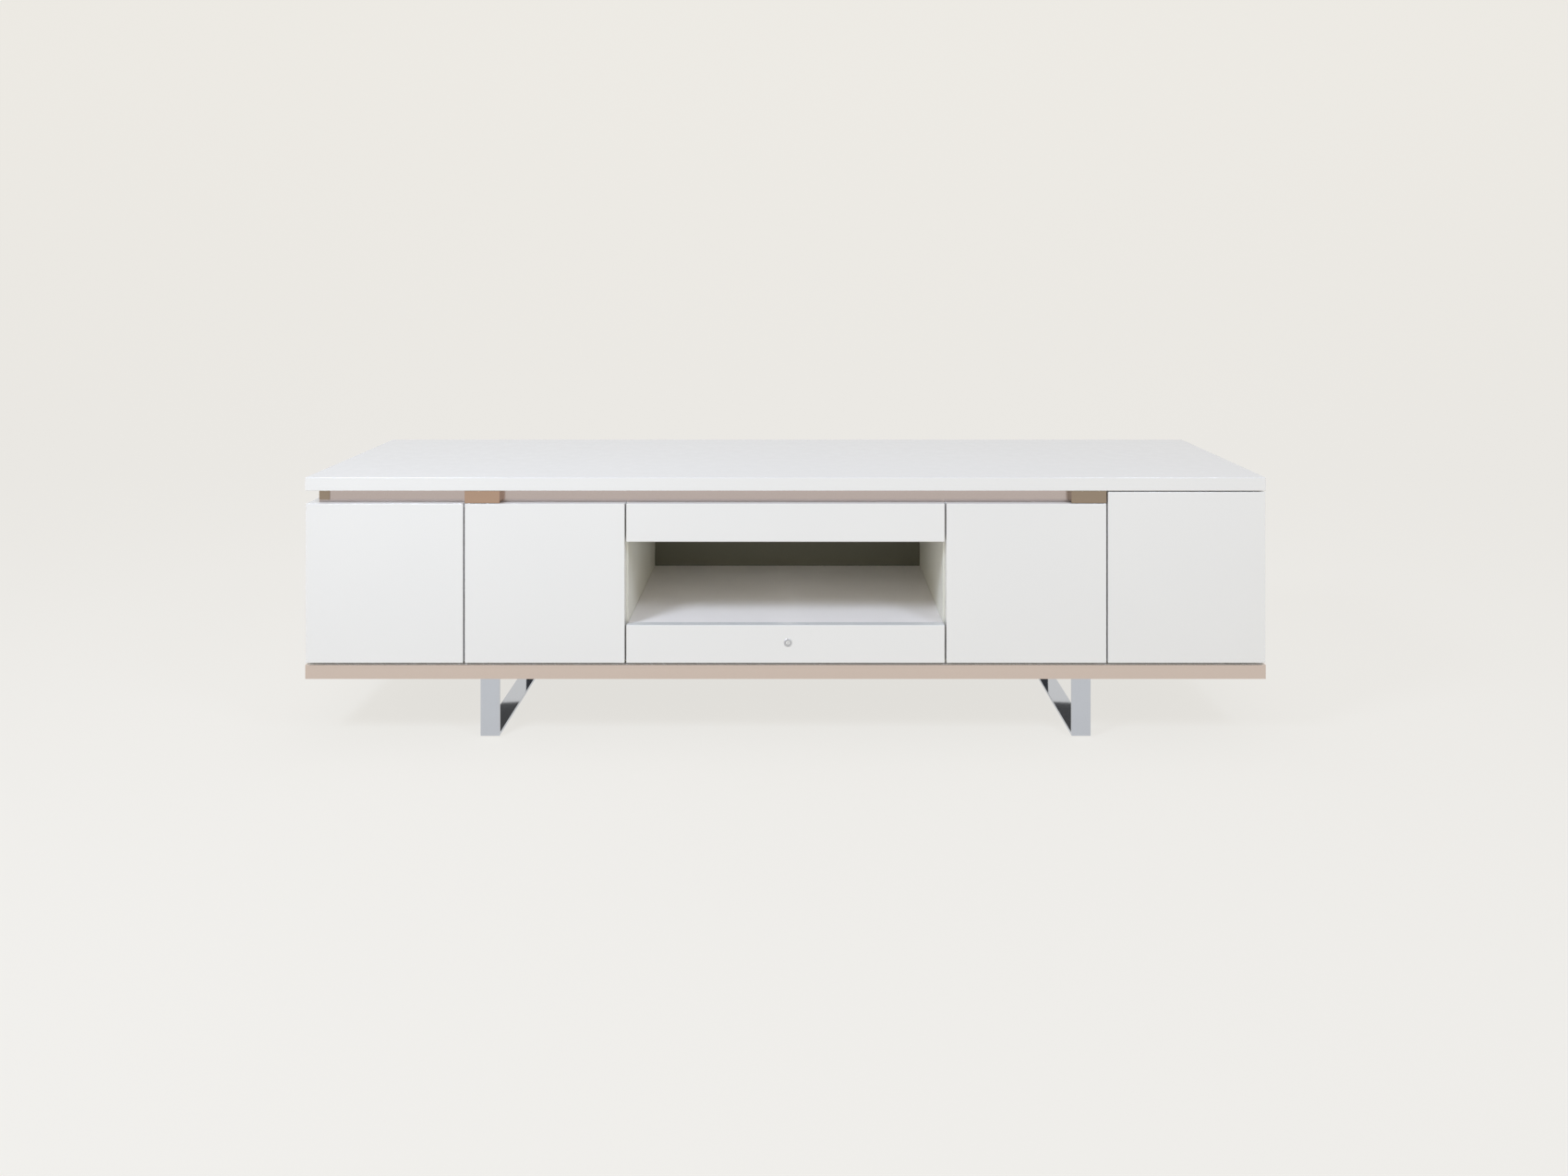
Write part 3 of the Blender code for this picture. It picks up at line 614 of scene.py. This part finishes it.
def sink_bores(bm, back_y, centres):
    """Open round bores in the face at back_y and close their floors."""
    back = facing_face(bm, 1)
    rim = back.edges[:]
    bmesh.ops.delete(bm, geom=[back], context="FACES_ONLY")
    circles = [draw_ring(bm, (x, back_y, z), BORE_RADIUS) for x, z in centres]
    around = [edge for circle in circles for edge in circle]
    bmesh.ops.triangle_fill(bm, edges=rim + around, use_beauty=True, normal=(0, 1, 0))
    for circle in circles:
        wall = bmesh.ops.extrude_edge_only(bm, edges=circle)
        deep = verts_in(wall)
        bmesh.ops.translate(bm, vec=(0, -BORE_DEPTH, 0), verts=deep)
        close_floor(bm, deep)
    bmesh.ops.recalc_face_normals(bm, faces=bm.faces)


def make_front(name, node, body, cups=()):
    """A lacquered board with broken edges, and a bore for each hinge cup."""
    low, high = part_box(node)
    bm = box_bmesh(low, high)
    round_edges(bm, FRONT_ROUND)
    if cups:
        sink_bores(bm, high.y, [(middle_of(cup).x, middle_of(cup).z) for cup in cups])
    return keep_piece(name, bm, LACQUER, body, [node])


DOORS = ["door_1", "door_2", "door_3", "end_door"]
LEVELS = ["lower", "upper"]
for door in DOORS:
    cups = [f"{door}_hinge_cup_{level}" for level in LEVELS]
    made = make_front(door + "_leaf", door, door, cups)
    print(made.name, len(made.data.polygons), "faces")
made = make_front("upper_drawer_face", "upper_drawer_front", "upper_drawer")
print(made.name, len(made.data.polygons), "faces")

# %% [markdown]
# ## The sled legs
# Each leg is one loop of 40 mm flat bar, mitred and welded at its corners and then
# polished through, so no weld shows and the corners keep a small outside radius. One
# upright face is inset by the bar's thickness, its middle is thrown away, and the ring
# that is left is extruded across the bar's width.

# %% Legs
LEG_BAR = 0.006
CORNER_ROUND = 0.0025
BAR_EASE = 0.0007
NEARLY_SQUARE = 1.2


def near_either(value, one_end, other_end):
    """Whether a place is at either end of the loop, not on its inner side."""
    return min(abs(value - one_end), abs(value - other_end)) < LEG_BAR / 2


def runs_across(edge):
    """Whether an edge runs over the width of the bar."""
    return abs(edge.verts[0].co.x - edge.verts[1].co.x) > LEG_BAR


def make_leg(side):
    low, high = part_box("leg_" + side)
    bm = bmesh.new()
    corners = [(low.y, low.z), (high.y, low.z), (high.y, high.z), (low.y, high.z)]
    face = bm.faces.new([bm.verts.new((low.x, y, z)) for y, z in corners])
    bm.normal_update()
    bmesh.ops.inset_region(bm, faces=[face], thickness=LEG_BAR, use_even_offset=True,
                           use_boundary=True)
    bmesh.ops.delete(bm, geom=[face], context="FACES")
    ring = bm.faces[:]
    swept = bmesh.ops.extrude_face_region(bm, geom=ring)
    bmesh.ops.translate(bm, vec=(high.x - low.x, 0, 0), verts=verts_in(swept))
    bmesh.ops.recalc_face_normals(bm, faces=bm.faces)
    outer = [edge for edge in bm.edges if runs_across(edge)
             and near_either(edge.verts[0].co.y, low.y, high.y)
             and near_either(edge.verts[0].co.z, low.z, high.z)]
    round_edges(bm, CORNER_ROUND, 4, outer)
    rims = [edge for edge in bm.edges if edge.is_manifold and not runs_across(edge)
            and edge.calc_face_angle() > NEARLY_SQUARE]
    round_edges(bm, BAR_EASE, 2, rims)
    return keep_piece(f"leg_loop_{side}", bm, CHROME, "carcass", ["leg_" + side])


for side in ("left", "right"):
    made = make_leg(side)
    print(made.name, len(made.data.polygons), "faces")

# %% [markdown]
# ## The lower drawer front and its lock
# This front has a round hole for the lock. The same ring of edges is drawn in the front
# and the back face, both faces are filled round it, and the two rings are bridged into
# the wall of the hole. A bridge keeps the hole round without any boolean.

# %% Lower drawer front
LOCK_HOLE = 0.0078


def open_hole(bm, centre, radius):
    """A round hole right through a board, along Y."""
    rings = []
    for sign in (-1, 1):
        face = facing_face(bm, sign)
        rim = face.edges[:]
        face_y = face.verts[0].co.y
        bmesh.ops.delete(bm, geom=[face], context="FACES_ONLY")
        ring = draw_ring(bm, (centre.x, face_y, centre.z), radius)
        bmesh.ops.triangle_fill(bm, edges=rim + ring, use_beauty=True, normal=(0, sign, 0))
        rings.extend(ring)
    bmesh.ops.bridge_loops(bm, edges=rings)
    bmesh.ops.recalc_face_normals(bm, faces=bm.faces)


lock_middle = middle_of("lock_barrel")
low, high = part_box("lower_drawer_front")
bm = box_bmesh(low, high)
round_edges(bm, FRONT_ROUND)
open_hole(bm, lock_middle, LOCK_HOLE)
made = keep_piece("lower_drawer_face", bm, LACQUER, "lower_drawer",
                  ["lower_drawer_front"])
print(made.name, len(made.data.polygons), "faces")

# %% [markdown]
# ## The lathe
# Round parts are turned in life and here too: a profile of points, each with its radius
# and its distance along the axis, is spun once round. The lock, the hinge cups, the shelf
# pins, the bumpers and the grommet all come from this one helper.

# %% Lathe helper
WELD = 0.000005


def turn_profile(bm, profile, centre, along, steps=RING_STEPS):
    """Spin (radius, distance) points about an X or Y axis through centre."""
    axis = {"X": Vector((1, 0, 0)), "Y": Vector((0, 1, 0))}[along]
    side = Vector((0, 0, 1))
    centre = Vector(centre)
    verts = [bm.verts.new(centre + side * radius + axis * far) for radius, far in profile]
    edges = [bm.edges.new(pair) for pair in zip(verts, verts[1:])]
    bmesh.ops.spin(bm, geom=verts + edges, cent=centre, axis=axis, angle=math.tau, steps=steps,
                   use_merge=True)
    bmesh.ops.remove_doubles(bm, verts=bm.verts, dist=WELD)
    bmesh.ops.recalc_face_normals(bm, faces=bm.faces)


print("lathe ready")

# %% [markdown]
# ## The lock
# A furniture lock has a rosette with a rolled rim, and a plug in it that the key turns.
# Both are spun. The keyway is a slot pushed into the plug's face, and the cam at the
# plug's far end swings up behind the drawer's front.

# %% Lock
BARREL_RADIUS = 0.0075
BARREL_BORE = 0.0053
PLUG_RADIUS = 0.0049
SHAFT_RADIUS = 0.0034
PLUG_LENGTH = 0.0345
KEYWAY = Vector((0.0011, 0, 0.0058))
KEYWAY_DEPTH = 0.006
CAM_WIDTH = 0.012
CAM_THICKNESS = 0.003
CAM_CORNER = 0.0045

rosette_low, rosette_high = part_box("lock_barrel")
rosette_radius = (rosette_high.x - rosette_low.x) / 2
face_y = rosette_low.y
bm = bmesh.new()
turn_profile(bm, [
    (BARREL_BORE, 0.0006), (BARREL_BORE, 0.0003), (0.0058, 0.0001), (0.0066, 0.0),
    (0.0074, 0.0001), (rosette_radius - 0.0004, 0.0004), (rosette_radius, 0.0008),
    (rosette_radius, 0.0012), (BARREL_RADIUS, 0.00125), (BARREL_RADIUS, rosette_high.y - face_y),
    (BARREL_BORE, rosette_high.y - face_y), (BARREL_BORE, 0.0006),
], (lock_middle.x, face_y, lock_middle.z), "Y")
keep_piece("lock_rosette", bm, LOCK_RING, "lower_drawer", ["lock_barrel"])

plug_low, plug_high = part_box("lock_plug")
bm = bmesh.new()
turn_profile(bm, [
    (0.0042, 0.0), (0.0047, 0.0002), (PLUG_RADIUS, 0.0006), (PLUG_RADIUS, PLUG_LENGTH),
    (SHAFT_RADIUS, PLUG_LENGTH), (SHAFT_RADIUS, plug_high.y - plug_low.y),
    (0.0, plug_high.y - plug_low.y),
], (lock_middle.x, plug_low.y, lock_middle.z), "Y")
rim = [edge for edge in bm.edges if edge.is_boundary]
slot = bmesh.ops.create_grid(bm, x_segments=1, y_segments=1, size=0.5)["verts"]
bmesh.ops.rotate(bm, verts=slot, cent=(0, 0, 0), matrix=Matrix.Rotation(math.pi / 2, 3, "X"))
bmesh.ops.scale(bm, verts=slot, vec=KEYWAY + Vector((0, 1, 0)))
bmesh.ops.translate(bm, verts=slot, vec=(lock_middle.x, plug_low.y, lock_middle.z))
slot_face = next(face for face in bm.faces if all(vert in slot for vert in face.verts))
sides = slot_face.edges[:]
bmesh.ops.delete(bm, geom=[slot_face], context="FACES_ONLY")
bmesh.ops.triangle_fill(bm, edges=rim + sides, use_beauty=True, normal=(0, -1, 0))
pushed = bmesh.ops.extrude_edge_only(bm, edges=sides)
deep = verts_in(pushed)
bmesh.ops.translate(bm, verts=deep, vec=(0, KEYWAY_DEPTH, 0))
close_floor(bm, deep)
bmesh.ops.recalc_face_normals(bm, faces=bm.faces)
cam = bmesh.ops.create_cube(bm, size=1.0)["verts"]
cam_length = plug_high.x - lock_middle.x + CAM_WIDTH / 2
cam_middle_y = plug_high.y - CAM_THICKNESS / 2
bmesh.ops.scale(bm, verts=cam, vec=(cam_length, CAM_THICKNESS, CAM_WIDTH))
bmesh.ops.translate(bm, verts=cam, vec=(plug_high.x - cam_length / 2, cam_middle_y, lock_middle.z))
corners = [edge for edge in {edge for vert in cam for edge in vert.link_edges}
           if abs(edge.verts[0].co.y - edge.verts[1].co.y) > CAM_THICKNESS / 2]
round_edges(bm, CAM_CORNER, 6, corners)
keep_piece("lock_core_with_cam", bm, LOCK_FACE, "lock_plug", ["lock_plug"])
print("lock rosette", round(rosette_radius * 2000, 1), "mm across")

# %% [markdown]
# ## Polished spacer blocks and the rail's end
# Between the carcass and the slab stand two blocks of polished bar, and a thin cap of
# the same metal closes the spacer frame's rail at the left end. Cut from bar, they have
# crisp edges with only a light break. A plain box would do from a distance, but the eased
# edge is what draws the thin bright outline round each block.

# %% Spacer blocks and rail cap
BLOCK_EASE = 0.0007
# The left block shows the painted warm reflection, the right one the darker painted reflection.
BLOCK_PAINTED_REFLECTION = {"left": BLOCK_PAINTED_WARM_REFLECTION, "right": STEEL_PAINTED_DARK_REFLECTION}
for side in ("left", "right"):
    low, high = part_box("spacer_block_" + side)
    bm = box_bmesh(low, high)
    round_edges(bm, BLOCK_EASE, 3)
    keep_piece("polished_block_" + side, bm, BLOCK_PAINTED_REFLECTION[side], "carcass",
               ["spacer_block_" + side])
    print("polished block", side, [round(value, 4) for value in high - low])

RAIL_WIDTH = 0.022
CAP_THICKNESS = 0.0012
CAP_RISE = 0.0042
CAP_GAP = 0.0001
CAP_EASE = 0.0003
frame_low, frame_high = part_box("spacer_frame")
low = Vector((frame_low.x, frame_low.y - CAP_THICKNESS, frame_low.z + CAP_RISE))
high = Vector((frame_low.x + RAIL_WIDTH, frame_low.y - CAP_GAP, frame_high.z))
bm = box_bmesh(low, high)
round_edges(bm, CAP_EASE, 2)
# The cap takes the darker painted reflection.
keep_piece("rail_end_cap", bm, STEEL_PAINTED_DARK_REFLECTION, "carcass")
print("rail cap", [round(value, 4) for value in high - low])

# %% [markdown]
# ## Screws
# Every fitting is held by small low-headed screws with a cross recess. One helper adds a
# head to any bmesh: a disc is filled round a cross-shaped ring and the ring is pushed in.
# The cross is a twelve-sided circle with every third point pulled towards the middle,
# which is quicker than drawing a plus sign and keeps each head light.

# %% Screw heads
SCREW_RIM = 16
CROSS_POINTS = 12
HEAD_FLAT = 0.86
HEAD_SKIRT = 1.16
CROSS_REACH = 0.55
CROSS_WAIST = 0.36
CROSS_FLOOR = 0.5
SCREW_RISE = 0.0009
HAIR = 0.0001


def add_screw(bm, place, facing, radius, height=SCREW_RISE):
    """A screw head with its flat side towards facing, standing height proud of place."""
    turn = Vector((0, 0, 1)).rotation_difference(Vector(facing)).to_matrix().to_4x4()
    local = Matrix.Translation(place) @ turn
    top = local @ Matrix.Translation((0, 0, height))
    rim = bmesh.ops.create_circle(bm, segments=SCREW_RIM, radius=radius * HEAD_FLAT,
                                  matrix=top)["verts"]
    cross = bmesh.ops.create_circle(bm, segments=CROSS_POINTS, radius=radius * CROSS_REACH,
                                    matrix=top)["verts"]
    pull = [vert for index, vert in enumerate(cross) if index % 3 == 0]
    bmesh.ops.scale(bm, verts=pull, vec=(CROSS_WAIST,) * 3, space=top.inverted())
    rim_edges = list({edge for vert in rim for edge in vert.link_edges})
    cross_edges = list({edge for vert in cross for edge in vert.link_edges})
    bmesh.ops.triangle_fill(bm, edges=rim_edges + cross_edges, use_beauty=True, normal=facing)
    sunk = bmesh.ops.extrude_edge_only(bm, edges=cross_edges)
    deep = verts_in(sunk)
    bmesh.ops.scale(bm, verts=deep, vec=(CROSS_FLOOR,) * 3, space=top.inverted())
    bmesh.ops.translate(bm, verts=deep, vec=-Vector(facing) * height)
    close_floor(bm, deep)
    skirt = bmesh.ops.extrude_edge_only(bm, edges=rim_edges)
    outer = verts_in(skirt)
    bmesh.ops.scale(bm, verts=outer, vec=(HEAD_SKIRT, HEAD_SKIRT, 1.0), space=top.inverted())
    bmesh.ops.translate(bm, verts=outer, vec=-Vector(facing) * height)
    close_floor(bm, outer)


def keep_screws(name, places, facing, radius):
    """A group of screws in the carcass, kept as one piece."""
    bm = bmesh.new()
    for place in places:
        add_screw(bm, Vector(place), Vector(facing), radius)
    bmesh.ops.recalc_face_normals(bm, faces=bm.faces)
    keep_piece(name, bm, ZINC, "carcass")
    print(name, len(places), "screws")


PANEL_SCREW = 0.0036
SCREW_INSET = 0.009
SCREWS_ALONG_EDGE = 5
rear_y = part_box("back_panel_left")[1].y
end_from_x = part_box("partition_end")[0].x
places = []
for node in ("back_panel_left", "back_panel_right"):
    low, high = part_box(node)
    span = high.x - low.x - 2 * SCREW_INSET
    for step in range(SCREWS_ALONG_EDGE):
        x = low.x + SCREW_INSET + span * step / (SCREWS_ALONG_EDGE - 1)
        places.append((x, rear_y, low.z + SCREW_INSET))
        full_height = node == "back_panel_left" or x > end_from_x
        top = high.z if full_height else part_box("carcass_top")[1].z
        places.append((x, rear_y, top - SCREW_INSET))
    for x in (low.x + SCREW_INSET, high.x - SCREW_INSET):
        places.append((x, rear_y, (low.z + high.z) / 2))
keep_screws("back_panel_screws", places, (0, 1, 0), PANEL_SCREW)

# %% [markdown]
# ## Leg fixings
# Each loop is held by four screws that go up through its top bar into the base board.
# They are seen only from below, but a stand is carried and turned over, so they belong.

# %% Leg screws
LEG_SCREW = 0.0048
LEG_SCREW_PLACES = (0.035, 0.12, 0.24, 0.325)
for side in ("left", "right"):
    low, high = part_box("leg_" + side)
    middle_x = (low.x + high.x) / 2
    bar_under = high.z - LEG_BAR
    places = [(middle_x, low.y + far, bar_under) for far in LEG_SCREW_PLACES]
    keep_screws(f"leg_screws_{side}", places, (0, 0, -1), LEG_SCREW)

# %% [markdown]
# ## Concealed hinges
# A cup hinge has a pressed cup in the door, an arm on a mounting plate, and links that
# fold into the cup. The cup is a spun profile with a dished floor and a round flange. The
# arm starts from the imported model's own mesh: its flat faces are merged and every corner
# is bevelled, because a pressed part has soft edges everywhere.

# %% Hinge cups and arms
CUP_OUTER = 0.0172
CUP_SCREW_REACH = 0.0184
CUP_SCREW = 0.0015
CUP_SCREW_RISE = 0.0003
ARM_WELD = 0.00002
ARM_EASE = 0.0005
ARM_CORNER_ANGLE = 0.5
PLATE_BACK = 0.037
PLATE_RISE = 0.0024
PLATE_SCREW = 0.0034
PLATE_SCREW_RISE = 0.0011
PLATE_SCREW_REACH = 0.016
ARM_RISE = 0.0088
ARM_SCREW = 0.0030
ARM_SCREW_STEP = 0.018
front_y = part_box("carcass_top")[0].y


def make_cup(door, level):
    low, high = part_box(f"{door}_hinge_cup_{level}")
    centre = Vector(((low.x + high.x) / 2, high.y, (low.z + high.z) / 2))
    bm = bmesh.new()
    turn_profile(bm, [
        (0.0, -0.0108), (0.0130, -0.0106), (0.0155, -0.0085), (0.0158, -0.0006), (0.0163, 0.0),
        (0.0200, 0.0), (0.0205, -0.0004), (0.0204, -0.0009), (CUP_OUTER, -0.0009),
        (CUP_OUTER, -0.0090), (0.0150, -0.0117), (0.0, -0.0117),
    ], centre, "Y", steps=40)
    for sign in (-1, 1):
        place = centre + Vector((0, -HAIR, sign * CUP_SCREW_REACH))
        add_screw(bm, place, Vector((0, 1, 0)), CUP_SCREW, CUP_SCREW_RISE)
    keep_piece(f"{door}_cup_{level}", bm, NICKEL, door,
               [f"{door}_hinge_cup_{level}"])


def make_arm(door, level):
    node = f"{door}_hinge_arm_{level}"
    low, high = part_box(node)
    cup_low, cup_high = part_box(f"{door}_hinge_cup_{level}")
    bm = bmesh.new()
    bm.from_mesh(nodes[node].data)
    bmesh.ops.remove_doubles(bm, verts=bm.verts, dist=ARM_WELD)
    bmesh.ops.dissolve_limit(bm, angle_limit=math.radians(1), verts=bm.verts, edges=bm.edges)
    sharp = [edge for edge in bm.edges
             if edge.is_manifold and edge.calc_face_angle() > ARM_CORNER_ANGLE]
    round_edges(bm, ARM_EASE, 2, sharp)
    panel_is_low = abs(cup_low.x - low.x) > abs(cup_high.x - high.x)
    panel_x, facing = (low.x, 1) if panel_is_low else (high.x, -1)
    middle_z = (low.z + high.z) / 2
    plate_y = front_y + PLATE_BACK
    for sign in (-1, 1):
        place = Vector((panel_x + facing * PLATE_RISE, plate_y,
                        middle_z + sign * PLATE_SCREW_REACH))
        add_screw(bm, place, Vector((facing, 0, 0)), PLATE_SCREW, PLATE_SCREW_RISE)
    for far in (0.0, ARM_SCREW_STEP):
        place = Vector((panel_x + facing * ARM_RISE, plate_y + far, middle_z))
        add_screw(bm, place, Vector((facing, 0, 0)), ARM_SCREW)
    bmesh.ops.recalc_face_normals(bm, faces=bm.faces)
    keep_piece(f"{door}_arm_{level}", bm, NICKEL, "carcass", [node])


for door in DOORS:
    for level in LEVELS:
        make_cup(door, level)
        make_arm(door, level)
print("hinges:", len(DOORS) * len(LEVELS))

# %% [markdown]
# ## Hinge links
# Between arm and cup run two flat links that fold away as the door shuts. Here the pair
# is one straight piece, cut into short even steps along its length, and tied to neither
# the arm nor the cup.

# %% Links
LINK_STEPS = 12
LINK_HALF_WIDTH = 0.0035
LINK_HALF_THICKNESS = 0.0008
LINK_OFFSET = 0.0035
LINK_EASE = 0.0003
IN_ARM = 0.004
IN_CUP = 0.009
for door in DOORS:
    for level in LEVELS:
        cup_low, cup_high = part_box(f"{door}_hinge_cup_{level}")
        x = (cup_low.x + cup_high.x) / 2
        z = (cup_low.z + cup_high.z) / 2
        start_y = front_y + IN_ARM
        end_y = cup_high.y - IN_CUP
        bm = bmesh.new()
        for link_z in (z - LINK_OFFSET, z + LINK_OFFSET):
            bar = box_bmesh((x - LINK_HALF_WIDTH, end_y, link_z - LINK_HALF_THICKNESS),
                            (x + LINK_HALF_WIDTH, start_y, link_z + LINK_HALF_THICKNESS))
            round_edges(bar, LINK_EASE, 2)
            spare = bpy.data.meshes.new("spare")
            bar.to_mesh(spare)
            bar.free()
            bm.from_mesh(spare)
            bpy.data.meshes.remove(spare)
        step = (start_y - end_y) / LINK_STEPS
        for cut in range(1, LINK_STEPS):
            bmesh.ops.bisect_plane(bm, geom=bm.verts[:] + bm.edges[:] + bm.faces[:],
                                   plane_co=(0, end_y + cut * step, 0), plane_no=(0, 1, 0))
        link = place_mesh(f"{door}_link_{level}", bm, ZINC)
        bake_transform(link)
print("links stretch between", round(start_y, 4), "and", round(end_y, 4))

# %% [markdown]
# ## Drawer runners
# Ball-bearing runners have a member screwed to the drawer that slides in the one on the
# cabinet. The drawer's member is a shallow channel with rolled edges. It is extruded from
# one bent line, then given its sheet thickness by solidify.

# %% Drawer members
MEMBER_HALF_HEIGHT = 0.0082
MEMBER_REACH = 0.0075
MEMBER_GAP = 0.0003
MEMBER_START = 0.004
MEMBER_SCREW = 0.0034
MEMBER_SCREW_RISE = 0.0008
MEMBER_SCREW_PLACES = (0.03, 0.12, 0.21, 0.30)
BEND_RADIUS = 0.0018
SHEET = 0.0011


def make_member(drawer, hand, side):
    """Channel on the drawer's side; side is -1 on the left and 1 on the right."""
    box_low, box_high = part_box(drawer + "_box")
    wall_x = box_high.x if side > 0 else box_low.x
    z = middle_of(f"{drawer}_runner_{hand}").z
    bm = bmesh.new()
    near = wall_x + side * MEMBER_GAP
    far = near + side * MEMBER_REACH
    points = [(far, -1), (near, -1), (near, 1), (far, 1)]
    start = box_low.y + MEMBER_START
    line = [bm.verts.new((x, start, z + up * MEMBER_HALF_HEIGHT)) for x, up in points]
    edges = [bm.edges.new(pair) for pair in zip(line, line[1:])]
    swept = bmesh.ops.extrude_edge_only(bm, edges=edges)
    bmesh.ops.translate(bm, verts=verts_in(swept), vec=(0, box_high.y - start, 0))
    bends = [edge for edge in bm.edges
             if edge.is_manifold and edge.calc_face_angle() > NEARLY_SQUARE]
    round_edges(bm, BEND_RADIUS, 4, bends)
    bmesh.ops.recalc_face_normals(bm, faces=bm.faces)
    web = max(bm.faces, key=lambda face: face.calc_area())
    if web.normal.x * side < 0:
        bmesh.ops.reverse_faces(bm, faces=bm.faces)
    bmesh.ops.solidify(bm, geom=bm.faces[:], thickness=-SHEET)
    bmesh.ops.recalc_face_normals(bm, faces=bm.faces)
    for far_y in MEMBER_SCREW_PLACES:
        place = Vector((near + side * (SHEET + HAIR), box_low.y + far_y, z))
        add_screw(bm, place, Vector((side, 0, 0)), MEMBER_SCREW, MEMBER_SCREW_RISE)
    keep_piece(f"{drawer}_member_{hand}", bm, ZINC, drawer)


for drawer in ("upper_drawer", "lower_drawer"):
    for hand, side in (("left", -1), ("right", 1)):
        make_member(drawer, hand, side)
print("drawer members on both sides of two drawers")

# %% [markdown]
# ## Shelf pins
# Each loose shelf lies on four pins: nickel-plated spigots with a collar that stops them
# at the panel. A spun profile does it, and the pins of a shelf are kept as one piece.

# %% Shelf pins
PIN_RADIUS = 0.0025
PIN_COLLAR = 0.0036
PIN_REACH = 0.009
PIN_UNDER_SHELF = 0.0038
PIN_FROM_FRONT = 0.04
PIN_FROM_BACK = 0.05
PIN_PROFILE = [(0.0, 0.0001), (PIN_COLLAR, 0.0001), (PIN_COLLAR, 0.0011), (PIN_RADIUS, 0.0013),
               (PIN_RADIUS, PIN_REACH - 0.0004), (0.0021, PIN_REACH), (0.0, PIN_REACH)]
for shelf, left_wall, right_wall in (("shelf_left", "end_panel_left", "partition_left"),
                                     ("shelf_right", "partition_right", "partition_end"),
                                     ("shelf_end", "partition_end", "end_panel_right")):
    low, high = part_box(shelf)
    bm = bmesh.new()
    for wall_x, side in ((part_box(left_wall)[1].x, 1), (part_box(right_wall)[0].x, -1)):
        for y in (low.y + PIN_FROM_FRONT, high.y - PIN_FROM_BACK):
            spun = [(radius, side * far) for radius, far in PIN_PROFILE]
            turn_profile(bm, spun, (wall_x, y, low.z - PIN_UNDER_SHELF), "X", steps=20)
    made = keep_piece(shelf + "_pins", bm, NICKEL, "carcass")
    print(made.name, len(made.data.polygons), "faces")

# %% [markdown]
# ## Door bumpers
# Soft domed bumpers on the carcass keep the lacquered doors from slapping. In life they
# are clear dots of rubber with glue on the back; here they are low spun domes.

# %% Door bumpers
BUMPER_HEIGHT = 0.0015
BUMPER_PROFILE = [(0.0034, 0.0), (0.0034, -0.0006), (0.0028, -0.0012), (0.0016, -BUMPER_HEIGHT),
                  (0.0, -BUMPER_HEIGHT)]
BESIDE_JOINT = 0.02
BESIDE_PARTITION = 0.0052
BUMPER_LEVELS = (0.20, 0.45)
top_z = middle_of("carcass_top").z
end_middle = middle_of("partition_end").x
joint_x = -end_middle
spots = [(joint_x - BESIDE_JOINT, top_z), (joint_x + BESIDE_JOINT, top_z)]
for z in BUMPER_LEVELS:
    spots += [(end_middle - BESIDE_PARTITION, z), (end_middle + BESIDE_PARTITION, z)]
bm = bmesh.new()
for x, z in spots:
    turn_profile(bm, BUMPER_PROFILE, (x, front_y, z), "Y", steps=20)
backs = [edge for edge in bm.edges if edge.is_boundary]
bmesh.ops.edgeloop_fill(bm, edges=backs)
bmesh.ops.recalc_face_normals(bm, faces=bm.faces)
keep_piece("door_bumpers", bm, GREY_PLASTIC, "carcass")
print("bumpers:", len(spots))

# %% [markdown]
# ## Cable grommet
# The hole in the niche's back gets a moulded lining with a flange, so that plugs pass
# without chipping the board. It is one more spun profile.

# %% Grommet
HOLE_RADIUS = 0.030
HOLE_UNDER_CEILING = 0.056
LINING_INSIDE = HOLE_RADIUS - 0.0022
LINING_OUTSIDE = HOLE_RADIUS - 0.0003
PROUD_BEHIND = 0.001
panel_low, panel_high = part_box("back_panel_centre")
hole_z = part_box("niche_ceiling")[0].z - HOLE_UNDER_CEILING
lining_end = panel_high.y - panel_low.y + PROUD_BEHIND
bm = bmesh.new()
turn_profile(bm, [
    (LINING_INSIDE, -0.0012), (HOLE_RADIUS - 0.0012, -0.0020), (HOLE_RADIUS + 0.0030, -0.0017),
    (HOLE_RADIUS + 0.0045, -0.0002), (LINING_OUTSIDE, -0.0002), (LINING_OUTSIDE, lining_end),
    (LINING_INSIDE, lining_end), (LINING_INSIDE, -0.0012),
], (0, panel_low.y, hole_z), "Y", steps=64)
keep_piece("cable_grommet", bm, BLACK_PLASTIC, "carcass")
print("grommet", round(HOLE_RADIUS * 2000), "mm")
